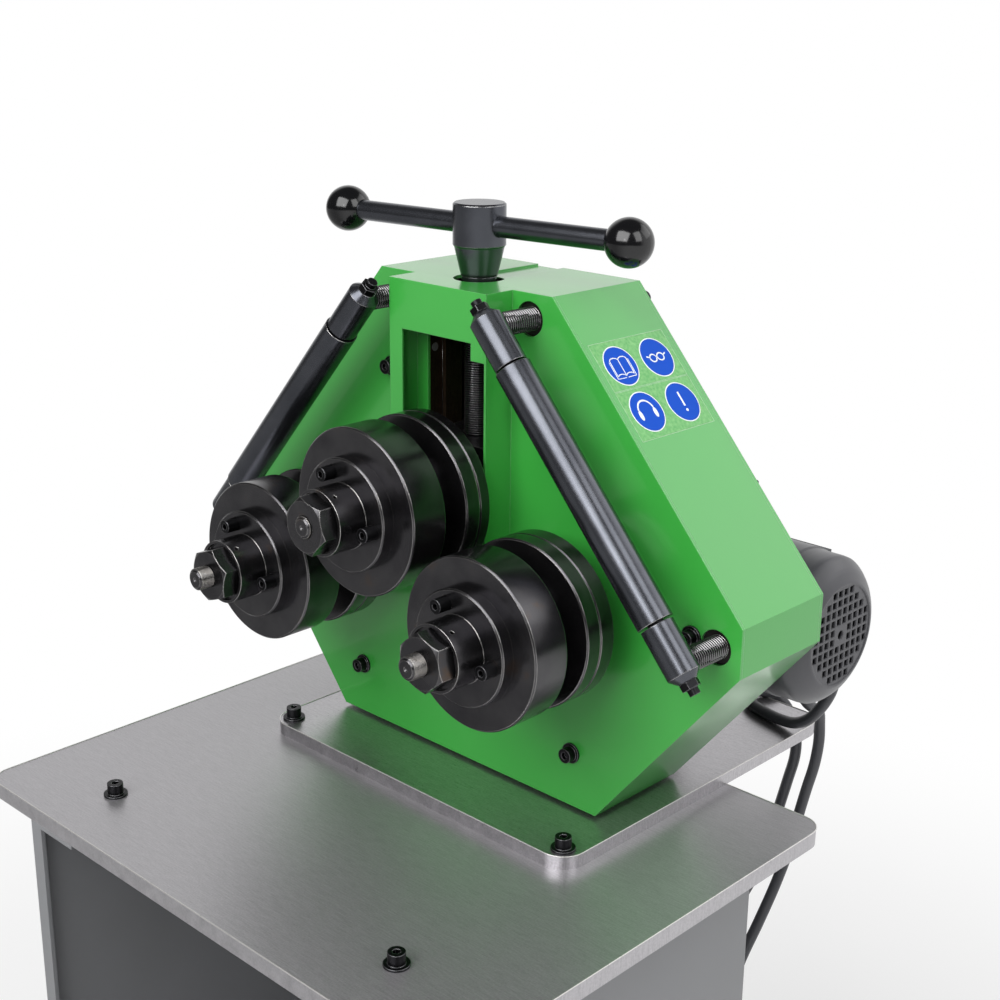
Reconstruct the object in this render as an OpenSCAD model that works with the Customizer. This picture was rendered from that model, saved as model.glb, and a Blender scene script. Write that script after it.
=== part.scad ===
// Ring roller with three driven bending rollers on a pedestal.
// Rollers point to -Y, the hand wheel bar is on top, the floor is z = 0.

/* [Pedestal and plates] */
// Height of the table top above the floor
table_h = 880; // [700:5:1000]
// Width of the table plate
table_w = 590; // [560:5:800]
// Depth of the table plate
table_d = 463; // [440:1:600]
// Thickness of the table plate
table_t = 15; // [8:1:25]
// Corner radius of the table plate
table_r = 20; // [5:1:40]
// Width over the pedestal sides
stand_w = 444; // [420:2:500]
// Thickness of the pedestal sheet
stand_t = 4; // [3:0.5:8]
// Width of the folded front and rear edges of the pedestal
stand_lip = 15; // [10:1:40]
// Width of the foot flanges
foot_w = 50; // [40:1:70]
// Diameter of the floor anchor holes
anchor_d = 13; // [9:0.5:20]
// Width of the plate under the casing
base_w = 380; // [370:2:440]
// Depth of the plate under the casing
base_d = 379; // [340:1:420]
// Thickness of the plate under the casing
base_t = 12; // [8:1:20]
// Corner radius of the plate under the casing
base_r = 22; // [5:1:40]

/* [Casing] */
// Half width of the casing
case_hw = 300; // [280:1:340]
// Half width of the casing's bottom edge
case_bottom_hw = 161; // [150:1:180]
// Half width of the casing's top edge
case_top_hw = 100.5; // [95:0.5:115]
// Height of the lower side corner
case_low_z = 170.6; // [150:0.2:190]
// Height of the upper side corner
case_up_z = 211.7; // [200:0.1:240]
// Height of the casing
case_h = 438; // [430:1:470]
// Depth of the casing
case_d = 109.5; // [100:0.5:130]
// Thickness of the casing's sheet
sheet_t = 3; // [2:0.5:4]
// Thickness of the two carrying plates inside
plate_t = 14.5; // [12:0.5:18]
// Gap between casing and base plate
case_gap = 3; // [2:0.5:6]

/* [Slide] */
// Outer width of the slide box on the front
box_w = 114.8; // [108:0.2:130]
// Depth of the slide box in front of the casing
box_d = 30.6; // [25:0.2:40]
// Sheet thickness of the slide box
box_t = 2; // [1.5:0.1:3]
// Width of the carriage
carriage_w = 83.4; // [80:0.2:90]
// Height of the carriage
carriage_h = 80; // [76:1:90]
// Upper roller's travel
travel = 80; // [20:1:90]
// Diameter of the screw spindle
spindle_d = 25; // [20:0.5:30]

/* [Rollers] */
// Diameter of the bending rollers
roller_d = 142; // [130:1:144]
// Diameter of the roller shafts
shaft_d = 30; // [26:0.5:34]
// Height of the two lower roller shafts
lower_z = 186.5; // [184:0.5:195]
// Half of the distance between the lower shafts
lower_x = 132; // [128:0.5:140]
// Height of the upper roller shaft at its lowest place
upper_z = 263; // [260:0.5:275]
// Width of the front disc of a roller
disc_w = 36; // [25:1:38]
// Width of the groove between the discs
groove_w = 23; // [10:1:25]
// Width of the first rear disc
rear_w = 15.5; // [8:0.5:16]
// Diameter of the groove's core
core_d = 90; // [70:1:110]
// Diameter of the clamp flange
flange_d = 96; // [80:1:110]
// Diameter of the collar in front of the flange
collar_d = 55.6; // [52:0.2:64]
// Width across the flats of the roller nuts
nut_af = 42.4; // [36:0.2:44]

/* [Handle] */
// Distance between the knob centres
handle_l = 300; // [240:2:400]
// Diameter of the handle bar
handle_d = 17.6; // [14:0.2:22]
// Diameter of the knobs
knob_d = 40; // [32:1:50]
// Diameter of the hub
hub_d = 45; // [40:0.5:52]
// Turn of the handle as it stands
handle_turn = 5.44; // [0:0.01:90]

/* [Side guides] */
// Length of a guide between its two rod axes
guide_l = 301.7; // [290:0.1:310]
// Diameter of the threaded guide rods
rod_d = 20; // [14:0.5:22]
// Diameter of the guide sleeve
sleeve_d = 30; // [24:0.5:36]
// Diameter of the guide blocks
block_d = 27.6; // [25:0.2:32]
// How far the guides stand in front of the casing
guide_y = 46; // [38:0.5:60]

/* [Drive] */
// Tooth module of the three gears
gear_m = 4; // [3.9:0.05:4.1]
// Teeth of the two roller gears
gear_teeth = 42; // [40:1:43]
// Teeth of the driving gear
pinion_teeth = 40; // [38:1:42]
// Width of the gears
gear_w = 25; // [15:1:28]
// Diameter of the motor
motor_d = 134; // [120:1:140]
// Length of the fan cover
cover_l = 74; // [66:1:80]
// Outer diameter of the electric leads
lead_d = 11; // [8:0.5:12]

/* [Hidden] */
$fn = 64;

// general
over = 1;
fit_c = 0.03;
gap_c = 0.3;
half = 1 / 2;

// casing placed above the table, its front plane set back from the table's middle
case_front = 81.5;
case_z = table_h + base_t + case_gap;
table_rear = table_d * half - case_front;

// socket head bolts
bolt_d = 8;
bolt_head_d = 13;
bolt_head_h = 7.5;
bolt_socket = 6;
bolt_washer_d = 18;
plate_head_d = 14;
plate_head_h = 9.5;
plate_washer_d = 21;
bolt_washer_t = 2;

// levels along Y inside the casing
carrier_y0 = sheet_t;
carrier_y1 = sheet_t + plate_t;
back_y1 = case_d - sheet_t;
back_y0 = back_y1 - plate_t;

// opening in the casing front for the slide
slot_hw = 42.4;
slot_low = 213;
slot_top = 398;
box_low = 205;
box_open_low = 215;
box_open_left = 42;
box_open_step = 40;
box_open_top = 395.5;
box_open_step_top = 381;

// screw bridge and top opening
bridge_low = 400;
bridge_h = 32.7;
bridge_w = 78;
top_hole_d = 44;
top_slot_w = 30;
top_slot_t = 1.8;
screw_y = 19.6;

// carriage
carriage_front = 14;
carriage_back = 101;
carriage_low = upper_z - carriage_h * half;
way_gap = 0.3;
way_w = 8;
rail_y1 = 37;
rail_in = 38;
rail_w = 22;
groove_gap = 0.3;

// bearings
bearing_d = 62;
bearing_w = 14.5;
bearing_fit = 0.02;

// roller stations along Y, counted from the rear face of the first rear disc
stack_y = 49.5;
collar_l = 27;
flange_t = 11.5;
recess_t = 3.2;
recess_d = 50.4;
nut_t = 17;
shaft_tip_d = 19.6;
tip_core_share = 0.93;
tip_core_d = shaft_tip_d * tip_core_share;
tip_chamfer = 2;
disc_chamfer = 1.2;
hub_r_d = 50;
screw_d = 12;
screw_circle = 37;
screw_len = 24;
screw_angles = [110, -8, -130];
lower_tip = 190.5;
upper_tip = 179;
lower_rear_y = 33;
upper_rear_y = 37.5;
face_y = 0.5;

// gears
gear_y0 = 45;
pinion_r = gear_m * pinion_teeth * half;
gear_r = gear_m * gear_teeth * half;
gear_edge_x = lower_x + gear_r + gear_m;
mesh_gap = 0.4;
centre_dist = gear_r + pinion_r + mesh_gap;
pinion_z = lower_z - sqrt(centre_dist * centre_dist - lower_x * lower_x);
gear_hub_d = 60;
gear_back = 88;

// motor and gearbox
worm_offset = 60;
motor_z = pinion_z + worm_offset;
motor_y = 179;
wheel_house_d = 144;
house_w = 112;
worm_tube_d = 76;
worm_tube_x = 75;
motor_flange_d = 132;
motor_flange_t = 12;
cover_end_x = 278.2;
cover_start_x = cover_end_x - cover_l;
cover_d = 135.2;
motor_x0 = worm_tube_x + motor_flange_t;

// sets the machine's own frame: casing front at y = 0, casing bottom at z = 0
module at_machine()
{
    translate([0, case_front, case_z])
        children();
}

// bar along Y from y0 to y1, seen in the machine's frame
module y_bar(r, y0, y1, x = 0, z = 0)
{
    translate([x, y1, z])
        rotate([90, 0, 0])
            cylinder(r = r, h = y1 - y0);
}

// ring along Y
module y_ring(r_out, r_in, y0, y1, x = 0, z = 0)
{
    difference()
    {
        y_bar(r_out, y0, y1, x, z);
        y_bar(r_in, y0 - over, y1 + over, x, z);
    }
}

// shape turned about the Y axis, its outline is given as radius and y
module y_turned(points, x = 0, z = 0)
{
    translate([x, 0, z])
        rotate([-90, 0, 0])
            rotate_extrude()
                polygon(points);
}

// flat outline in X and Z thickened along Y
module y_plate(points, y0, y1)
{
    translate([0, y1, 0])
        rotate([90, 0, 0])
            linear_extrude(y1 - y0)
                polygon(points);
}

// rounded plate in X and Y
module round_plate(w, d, t, r)
{
    difference()
    {
        translate([-w * half, -d * half, 0])
            cube([w, d, t]);
        for (sx = [-1, 1], sy = [-1, 1])
            translate([sx * (w * half - r), sy * (d * half - r), -over])
                difference()
                {
                    translate([sx * (r + over) * half, sy * (r + over) * half, t * half + over])
                        cube([r + over, r + over, t + 4 * over], center = true);
                    translate([0, 0, -2 * over])
                        cylinder(r = r, h = t + 6 * over);
                }
    }
}

// casing outline, pulled in by a distance on every side
function case_pts() = [
    [-case_bottom_hw, 0], [case_bottom_hw, 0], [case_hw, case_low_z], [case_hw, case_up_z],
    [case_top_hw, case_h], [-case_top_hw, case_h], [-case_hw, case_up_z], [-case_hw, case_low_z]];
function unit(v) = v / norm(v);
function left_of(v) = [-v[1], v[0]];
function cross2(a, b) = a[0] * b[1] - a[1] * b[0];
function inset_corner(a, b, c, d) =
    let (u = unit(b - a), w = unit(c - b), p = a + left_of(u) * d, q = b + left_of(w) * d,
        t = cross2(q - p, w) / cross2(u, w))
    p + u * t;
function inset_pts(p, d) = let (n = len(p))
    [for (i = [0 : n - 1]) inset_corner(p[(i + n - 1) % n], p[i], p[(i + 1) % n], d)];

// places of the casing bolts
bolt_low_x_share = 0.826;
bolt_low_z = 50;
bolt_side_share = 0.4286;
bolt_side_z = 193;
bolt_up_x_share = 0.8756;
bolt_up_z = 351;
bolt_places = [
    [case_bottom_hw * bolt_low_x_share, bolt_low_z],
    [gear_edge_x + (case_hw - sheet_t - gear_edge_x) * bolt_side_share, bolt_side_z],
    [case_top_hw * bolt_up_x_share, bolt_up_z]];

// places of the guide rods, on a line beside the slanted sides
rod_up_x = 76.5;
rod_up_z = 416.8;
guide_dir = unit([case_hw - case_top_hw, case_up_z - case_h]);
rod_low_x = rod_up_x + guide_dir[0] * guide_l;
rod_low_z = rod_up_z + guide_dir[1] * guide_l;
rod_places = [[rod_up_x, rod_up_z], [rod_low_x, rod_low_z]];
rod_hole_d = 28.8;
shaft_hole_d = 66;

// pedestal: two folded sides, back, shelf, top flanges and foot flanges
stand_top = table_h - table_t;
stand_hw = stand_w * half;
stand_hd = table_d * half;
top_flange = 64;
shelf_z = 180;
shelf_lip = 30;
foot_t = 10;
anchor_in = 45;
table_bolt_x = 184;
table_bolt_y = 63;
base_bolt_x = 174;
base_bolt_y = 16;
base_front = 71;
base_rear_bolt_x = 120;
base_rear_bolt_y = 128;
rail_depth = 60;
rear_rail_y = 87;
base_mid = base_d * half - base_front;

module pedestal_side()
{
    // upright sheet with folded front and rear edges
    translate([stand_hw - stand_t, -stand_hd, foot_t])
        cube([stand_t, table_d, stand_top - foot_t]);
    for (sy = [-1, 1])
        translate([stand_hw - stand_lip, sy * (stand_hd - stand_t * half) - stand_t * half, foot_t])
            cube([stand_lip, stand_t, stand_top - foot_t]);
    // top flange under the table
    translate([stand_hw - top_flange, -stand_hd, stand_top - stand_t])
        cube([top_flange, table_d, stand_t]);
    // foot flange
    translate([stand_hw - stand_lip, -stand_hd, 0])
        cube([stand_lip + foot_w, table_d, foot_t]);
}

// the two side sheets with their folded edges and feet
module pedestal()
{
    color("dimgray") difference()
    {
        for (sx = [0, 1])
            mirror([sx, 0, 0])
                pedestal_side();
        for (sx = [-1, 1], sy = [-1, 1])
            translate([sx * (stand_hw + foot_w * half), sy * (stand_hd - anchor_in), -over])
                cylinder(d = anchor_d, h = foot_t + 2 * over);
        for (sx = [-1, 1])
        {
            translate([sx * table_bolt_x, -stand_hd + table_bolt_y, stand_top - stand_t - over])
                cylinder(d = bolt_d, h = stand_t + 2 * over);
            translate([sx * base_bolt_x, base_front_bolt_y, stand_top - stand_t - over])
                cylinder(d = bolt_d, h = stand_t + 2 * over);
        }
    }
}

module pedestal_back()
{
    color("dimgray")
        translate([-stand_hw + stand_lip, stand_hd - stand_t, foot_t])
            cube([stand_w - 2 * stand_lip, stand_t, stand_top - stand_t - foot_t]);
}

module pedestal_shelf()
{
    shelf_w = stand_w - 2 * stand_t;
    color("dimgray")
    {
        translate([-shelf_w * half, -stand_hd + stand_lip, shelf_z])
            cube([shelf_w, table_d - stand_lip - stand_t, stand_t]);
        // lip along its front edge
        translate([-shelf_w * half, -stand_hd + stand_lip, shelf_z - shelf_lip])
            cube([shelf_w, stand_t, shelf_lip + over]);
        top_rails();
    }
}

// cross rails between the top flanges, the rear one carries the bolts under the casing
module top_rails()
{
    rail_l = stand_w - 2 * top_flange;
    difference()
    {
        for (y = [case_front - base_bolt_y - rail_depth, case_front + rear_rail_y])
            translate([-rail_l * half, y, stand_top - stand_t])
                cube([rail_l, rail_depth, stand_t]);
        for (sx = [-1, 1])
            translate([sx * base_rear_bolt_x, case_front + base_rear_bolt_y,
                stand_top - stand_t - over])
                cylinder(d = bolt_d, h = stand_t + 2 * over);
    }
}
base_front_bolt_y = case_front - base_front + base_bolt_y;

bolt_hole_d = 9;

module table_plate()
{
    color("silver") difference()
    {
        translate([0, 0, stand_top])
            round_plate(table_w, table_d, table_t, table_r);
        for (sx = [-1, 1])
        {
            translate([sx * table_bolt_x, -stand_hd + table_bolt_y, stand_top - over])
                cylinder(d = bolt_hole_d, h = table_t + 2 * over);
            translate([sx * base_bolt_x, base_front_bolt_y, stand_top - over])
                cylinder(d = bolt_hole_d, h = table_t + 2 * over);
            translate([sx * base_rear_bolt_x, case_front + base_rear_bolt_y, stand_top - over])
                cylinder(d = bolt_hole_d, h = table_t + 2 * over);
        }
    }
}

module base_plate()
{
    color("silver") difference()
    {
        translate([0, case_front + base_mid, table_h])
            round_plate(base_w, base_d, base_t, base_r);
        for (sx = [-1, 1])
        {
            translate([sx * base_bolt_x, base_front_bolt_y, table_h - over])
                cylinder(d = bolt_hole_d, h = base_t + 2 * over);
            translate([sx * base_rear_bolt_x, case_front + base_rear_bolt_y, table_h - over])
                cylinder(d = bolt_hole_d, h = base_t + 2 * over);
        }
    }
}

// socket head bolt with a washer, standing on z = 0 and pointing down
module socket_bolt(length, washer_d = bolt_washer_d, head_d = bolt_head_d, head_h = bolt_head_h)
{
    difference()
    {
        union()
        {
            translate([0, 0, bolt_washer_t])
                cylinder(d = head_d, h = head_h);
            cylinder(d = washer_d, h = bolt_washer_t);
            translate([0, 0, -length])
                cylinder(d = bolt_d, h = length + bolt_washer_t);
        }
        translate([0, 0, bolt_washer_t + head_h * half])
            rotate(30)
                cylinder(d = bolt_socket / cos(30), h = head_h, $fn = 6);
    }
}

module plate_bolts()
{
    color("black") for (sx = [-1, 1])
    {
        translate([sx * table_bolt_x, -stand_hd + table_bolt_y, table_h])
            socket_bolt(table_t + stand_t, plate_washer_d, plate_head_d, plate_head_h);
        translate([sx * base_bolt_x, base_front_bolt_y, table_h + base_t])
            socket_bolt(table_t + base_t + stand_t, plate_washer_d, plate_head_d, plate_head_h);
        translate([sx * base_rear_bolt_x, case_front + base_rear_bolt_y, table_h + base_t])
            socket_bolt(table_t + base_t + stand_t, plate_washer_d, plate_head_d, plate_head_h);
    }
}

// through holes that front and rear sheets share
module bolt_cuts(d, y0, y1)
{
    for (p = bolt_places, sx = [-1, 1])
        y_bar(d * half, y0 - over, y1 + over, sx * p[0], p[1]);
}

module rod_cuts(d, y0, y1)
{
    for (p = rod_places, sx = [-1, 1])
        y_bar(d * half, y0 - over, y1 + over, sx * p[0], p[1]);
}

module lower_cuts(d, y0, y1)
{
    for (sx = [-1, 1])
        y_bar(d * half, y0 - over, y1 + over, sx * lower_x, lower_z);
}

module top_cut(depth)
{
    // round opening for the spindle, with a shallow slot to the rear edge
    translate([0, screw_y, case_h - depth])
        cylinder(d = top_hole_d, h = depth + over);
    translate([-top_slot_w * half, screw_y, case_h - top_slot_t])
        cube([top_slot_w, case_d + over - screw_y, top_slot_t + over]);
}

module slide_box()
{
    bx = box_w * half;
    difference()
    {
        translate([-bx, -box_d, box_low])
            cube([box_w, box_d, case_h - box_low]);
        // inside of the box, open to the casing
        translate([-bx + box_t, -box_d + box_t, box_low - over])
            cube([box_w - 2 * box_t, box_d - box_t + over, case_h - box_low - box_t + over]);
        // front opening with a step on the right
        translate([-box_open_left, -box_d - over, box_open_low])
            cube([box_open_left + box_open_step, box_t + 2 * over, box_open_top - box_open_low]);
        translate([box_open_step - over, -box_d - over, box_open_low])
            cube([bx - box_t - box_open_step + over, box_t + 2 * over,
                box_open_step_top - box_open_low]);
        top_cut(box_t + sheet_t);
    }
}

module front_cover()
{
    color("limegreen") at_machine()
    {
        difference()
        {
            union()
            {
                y_plate(case_pts(), 0, sheet_t);
                slide_box();
            }
            translate([-slot_hw, -over, slot_low])
                cube([2 * slot_hw, sheet_t + 2 * over, slot_top - slot_low]);
            bolt_cuts(bolt_hole_d, 0, sheet_t);
            rod_cuts(rod_hole_d, 0, sheet_t);
            lower_cuts(shaft_hole_d, 0, sheet_t);
            top_cut(sheet_t);
        }
    }
}

module side_band()
{
    color("limegreen") at_machine() difference()
    {
        y_plate(case_pts(), sheet_t, case_d - sheet_t);
        y_plate(inset_pts(case_pts(), sheet_t), 0, case_d);
        top_cut(sheet_t + over);
    }
}

module rear_cover()
{
    color("limegreen") at_machine() difference()
    {
        y_plate(case_pts(), case_d - sheet_t, case_d);
        bolt_cuts(bolt_hole_d, case_d - sheet_t, case_d);
        y_bar(shaft_hole_d * half, case_d - sheet_t - over, case_d + over, 0, pinion_z);
        top_cut(sheet_t);
    }
}

module carrier(y0, slot_half)
{
    difference()
    {
        y_plate(inset_pts(case_pts(), sheet_t), y0, y0 + plate_t);
        translate([-slot_half, y0 - over, slot_low])
            cube([2 * slot_half, plate_t + 2 * over, slot_top - slot_low]);
        // room for the screw bridge and the top opening
        translate([-bridge_w * half, y0 - over, slot_top - over])
            cube([bridge_w, plate_t + 2 * over, case_h]);
        bolt_cuts(bolt_d, y0, y0 + plate_t);
        lower_cuts(bearing_d + 2 * bearing_fit, y0, y0 + plate_t);
        y_bar(bearing_d * half + bearing_fit, y0 - over, y0 + plate_t + over, 0, pinion_z);
    }
}

module front_carrier()
{
    color("gray") at_machine() difference()
    {
        carrier(carrier_y0, carriage_w * half + way_w);
        rod_cuts(rod_d + 2 * rod_fit, carrier_y0, carrier_y1);
    }
}
rod_fit = 0.05;

module rear_carrier()
{
    color("gray") at_machine()
        carrier(back_y0, carriage_w * half + way_gap);
}

tie_d = 20;
module tie_bars()
{
    color("gray") at_machine() for (p = bolt_places, sx = [-1, 1])
        y_ring(tie_d * half, bolt_d * half, carrier_y1, back_y0, sx * p[0], p[1]);
}

module casing_bolts()
{
    color("black") at_machine() for (p = bolt_places, sx = [-1, 1])
    {
        translate([sx * p[0], 0, p[1]])
            rotate([90, 0, 0])
                socket_bolt(carrier_y1 + plate_t);
        translate([sx * p[0], case_d, p[1]])
            rotate([-90, 0, 0])
                socket_bolt(sheet_t + 2 * plate_t);
    }
}

module slide_ways()
{
    way_h = slot_top - slot_low;
    inner = carriage_w * half + way_gap;
    color("dimgray") at_machine() for (sx = [0, 1])
        mirror([sx, 0, 0])
        {
            // hardened strip in the slot of the front carrier
            translate([inner, carrier_y0, slot_low])
                cube([way_w - way_gap, plate_t, way_h]);
            // guide rail behind the front carrier
            translate([rail_in, carrier_y1, slot_low])
                cube([rail_w, rail_y1 - carrier_y1, way_h]);
        }
}

module nut_bridge()
{
    color("dimgray") at_machine() difference()
    {
        translate([-bridge_w * half, carrier_y0, bridge_low])
            cube([bridge_w, back_y1 - carrier_y0, bridge_h]);
        translate([0, screw_y, bridge_low - over])
            cylinder(d = spindle_d + 2 * fit_c, h = bridge_h + 2 * over);
    }
}

module bearing(y0, x, z)
{
    y_ring(bearing_d * half, shaft_d * half + fit_c, y0, y0 + bearing_w, x, z);
}

module frame_bearings()
{
    color("lightgray") at_machine()
        for (y = [carrier_y0, back_y0])
        {
            for (sx = [-1, 1])
                bearing(y, sx * lower_x, lower_z);
            bearing(y, 0, pinion_z);
        }
}

module carriage()
{
    cw = carriage_w * half;
    color("dimgray") at_machine() difference()
    {
        translate([-cw, -carriage_front, carriage_low])
            cube([carriage_w, carriage_front + carriage_back, carriage_h]);
        // grooves for the guide rails
        for (sx = [-1, 1])
            translate([sx * cw, (carrier_y1 + rail_y1) * half, carriage_low + carriage_h * half])
                cube([2 * (cw - rail_in + groove_gap), rail_y1 - carrier_y1 + 2 * groove_gap,
                    carriage_h + 2 * over], center = true);
        y_bar(bearing_d * half + bearing_fit, -carriage_front - over,
            -carriage_front + bearing_w, 0, upper_z);
        y_bar(bearing_d * half + bearing_fit, carriage_back - bearing_w,
            carriage_back + over, 0, upper_z);
        y_bar(shaft_d * half + tip_chamfer, -carriage_front, carriage_back + over, 0, upper_z);
        // seat of the spindle's foot
        translate([0, screw_y, carriage_low + carriage_h - spindle_seat])
            cylinder(d = spindle_foot_d + 2 * fit_c, h = spindle_seat + over);
    }
}
spindle_seat = 6;
spindle_foot_d = 18;

module carriage_bearings()
{
    color("lightgray") at_machine()
    {
        bearing(-carriage_front, 0, upper_z);
        bearing(carriage_back - bearing_w, 0, upper_z);
    }
}

collar_low = 433.5;
cone_low = 440.4;
cone_top = 464.8;
hub_top = 501.4;
collar_low_d = 29.5;
cone_low_d = 31;
cone_top_d = 42.7;
hub_edge = 1.5;
bar_z = 482.9;

module spindle()
{
    carriage_top = carriage_low + carriage_h;
    color("dimgray") at_machine() translate([0, screw_y, 0])
    {
        translate([0, 0, carriage_top - spindle_seat])
            cylinder(d = spindle_foot_d, h = spindle_seat + over);
        translate([0, 0, carriage_top + gap_c])
            cylinder(d = spindle_d, h = collar_low - carriage_top - gap_c);
        translate([0, 0, collar_low])
            cylinder(d = collar_low_d, h = cone_low - collar_low);
    }
}

module handle_hub()
{
    color("dimgray") at_machine() translate([0, screw_y, 0]) difference()
    {
        rotate_extrude()
            polygon([[0, cone_low], [cone_low_d * half, cone_low], [cone_top_d * half, cone_top],
                [hub_d * half, cone_top + hub_edge], [hub_d * half, hub_top - hub_edge],
                [hub_d * half - hub_edge, hub_top], [0, hub_top]]);
        translate([0, 0, bar_z])
            rotate([0, 90, handle_turn])
                cylinder(d = handle_d + 2 * fit_c, h = hub_d + 2 * over, center = true);
    }
}

bar_end = 8;
module handle_bar()
{
    color("dimgray") at_machine() translate([0, screw_y, bar_z])
        rotate([0, 90, handle_turn])
            cylinder(d = handle_d, h = handle_l - knob_d + 2 * bar_end, center = true);
}

module handle_knobs()
{
    color("black") at_machine() translate([0, screw_y, bar_z]) rotate(handle_turn)
        for (sx = [0, 1])
            mirror([sx, 0, 0])
                difference()
                {
                    translate([handle_l * half, 0, 0])
                        sphere(d = knob_d);
                    rotate([0, 90, 0])
                        cylinder(d = handle_d + 2 * fit_c, h = handle_l * half - knob_d * half
                            + bar_end + fit_c);
                }
}

// one roller with its shaft, drawn about its own axis
disc_back = stack_y;
groove_back = disc_back + rear_w;
disc_rear = groove_back + groove_w;
disc_front = disc_rear + disc_w;
flange_front = disc_front + flange_t;
collar_front = flange_front + collar_l;
nut_front = collar_front - recess_t + nut_t;

module turned_disc(d, bore, y0, y1)
{
    c = disc_chamfer;
    y_turned([[bore * half, y0], [d * half - c, y0], [d * half, y0 + c],
        [d * half, y1 - c], [d * half - c, y1], [bore * half, y1]]);
}

module roller_shaft(rear_y, shoulder_y, back_y, tip)
{
    // shoulder behind the discs, journal, and the threaded tip with a centre hole
    difference()
    {
        y_turned([[0, -tip], [tip_core_d * half - tip_chamfer, -tip],
            [tip_core_d * half, -tip + tip_chamfer], [tip_core_d * half, -nut_front + over],
            [shaft_tip_d * half, -nut_front + over], [shaft_tip_d * half, -collar_front + recess_t],
            [shaft_d * half, -collar_front + recess_t], [shaft_d * half, -rear_y],
            [hub_r_d * half, -rear_y], [hub_r_d * half, shoulder_y],
            [shaft_d * half, shoulder_y], [shaft_d * half, back_y - tip_chamfer],
            [shaft_d * half - tip_chamfer, back_y], [0, back_y]]);
        translate([0, -tip - over, 0])
            rotate([-90, 0, 0])
                cylinder(r1 = tip_chamfer + over, r2 = 0, h = tip_chamfer + over);
    }
}

module roller_front_disc()
{
    turned_disc(roller_d, shaft_d, -disc_front, -disc_rear);
}

module roller_core()
{
    y_ring(core_d * half, shaft_d * half, -disc_rear, -groove_back);
}

module roller_rear_discs(rear_y)
{
    turned_disc(roller_d, shaft_d, -groove_back, -disc_back);
    turned_disc(roller_d, shaft_d, -disc_back, -rear_y);
}

radial_hole_d = 3.5;
radial_hole_y = 6.5;
radial_hole_l = 7;
radial_hole_angle = 59;
module roller_flange()
{
    difference()
    {
        union()
        {
            y_turned([[shaft_d * half, -flange_front], [flange_d * half - disc_chamfer, -flange_front],
                [flange_d * half, -flange_front + disc_chamfer], [flange_d * half, -disc_front],
                [shaft_d * half, -disc_front]]);
            y_turned([[shaft_d * half, -collar_front + recess_t],
                [recess_d * half, -collar_front + recess_t], [recess_d * half, -collar_front],
                [collar_d * half, -collar_front], [collar_d * half, -flange_front],
                [shaft_d * half, -flange_front]]);
        }
        for (a = screw_angles)
            rotate([0, -a, 0])
                y_bar(screw_d * half, -collar_front, -disc_front + over, screw_circle, 0);
        rotate([0, -radial_hole_angle, 0])
            translate([collar_d * half - radial_hole_l, -collar_front + radial_hole_y, 0])
                rotate([0, 90, 0])
                    cylinder(d = radial_hole_d, h = radial_hole_l + over);
    }
}

module roller_nut(angle)
{
    e = nut_af / cos(30);
    rotate([0, -angle, 0]) difference()
    {
        intersection()
        {
            translate([0, -nut_front + nut_t, 0])
                rotate([90, 0, 0])
                    cylinder(d = e, h = nut_t, $fn = 6);
            y_turned([[0, -nut_front], [nut_af * half, -nut_front],
                [e * half, -nut_front + nut_bevel], [e * half, -nut_front + nut_t], [0, -nut_front + nut_t]]);
        }
        y_bar(shaft_tip_d * half, -nut_front - over, -nut_front + nut_t + over);
    }
}
nut_bevel = 2;

module roller_screws()
{
    for (a = screw_angles)
        rotate([0, -a, 0])
            difference()
            {
                y_bar(screw_d * half - fit_c, -disc_front - screw_len, -disc_front, screw_circle, 0);
                translate([screw_circle, -disc_front - screw_len + screw_d * half, 0])
                    rotate([90, 0, 0])
                        cylinder(d = screw_d * half, h = screw_d, $fn = 6);
            }
}

module at_roller(x, z)
{
    at_machine()
        translate([x, 0, z])
            children();
}

lower_shoulder = -face_y;
upper_shoulder = -carriage_front - face_y;
shaft_end_y = back_y1 - face_y;

module upper_shaft()
{
    color("dimgray") at_roller(0, upper_z)
        roller_shaft(upper_rear_y, upper_shoulder, carriage_back - face_y, upper_tip);
}
module upper_front_disc() { color("dimgray") at_roller(0, upper_z) roller_front_disc(); }
module upper_core() { color("dimgray") at_roller(0, upper_z) roller_core(); }
module upper_rear_discs()
{
    color("dimgray") at_roller(0, upper_z)
        roller_rear_discs(upper_rear_y);
}
module upper_flange() { color("dimgray") at_roller(0, upper_z) roller_flange(); }
upper_nut_angle = 45;
module upper_nut() { color("dimgray") at_roller(0, upper_z) roller_nut(upper_nut_angle); }
module upper_screws() { color("black") at_roller(0, upper_z) roller_screws(); }

module right_shaft()
{
    color("dimgray") at_roller(lower_x, lower_z)
        roller_shaft(lower_rear_y, lower_shoulder, shaft_end_y, lower_tip);
}
module right_front_disc() { color("dimgray") at_roller(lower_x, lower_z) roller_front_disc(); }
module right_core() { color("dimgray") at_roller(lower_x, lower_z) roller_core(); }
module right_rear_discs()
{
    color("dimgray") at_roller(lower_x, lower_z)
        roller_rear_discs(lower_rear_y);
}
module right_flange() { color("dimgray") at_roller(lower_x, lower_z) roller_flange(); }
right_nut_angle = 40;
module right_nut() { color("dimgray") at_roller(lower_x, lower_z) roller_nut(right_nut_angle); }
module right_screws() { color("black") at_roller(lower_x, lower_z) roller_screws(); }

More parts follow.
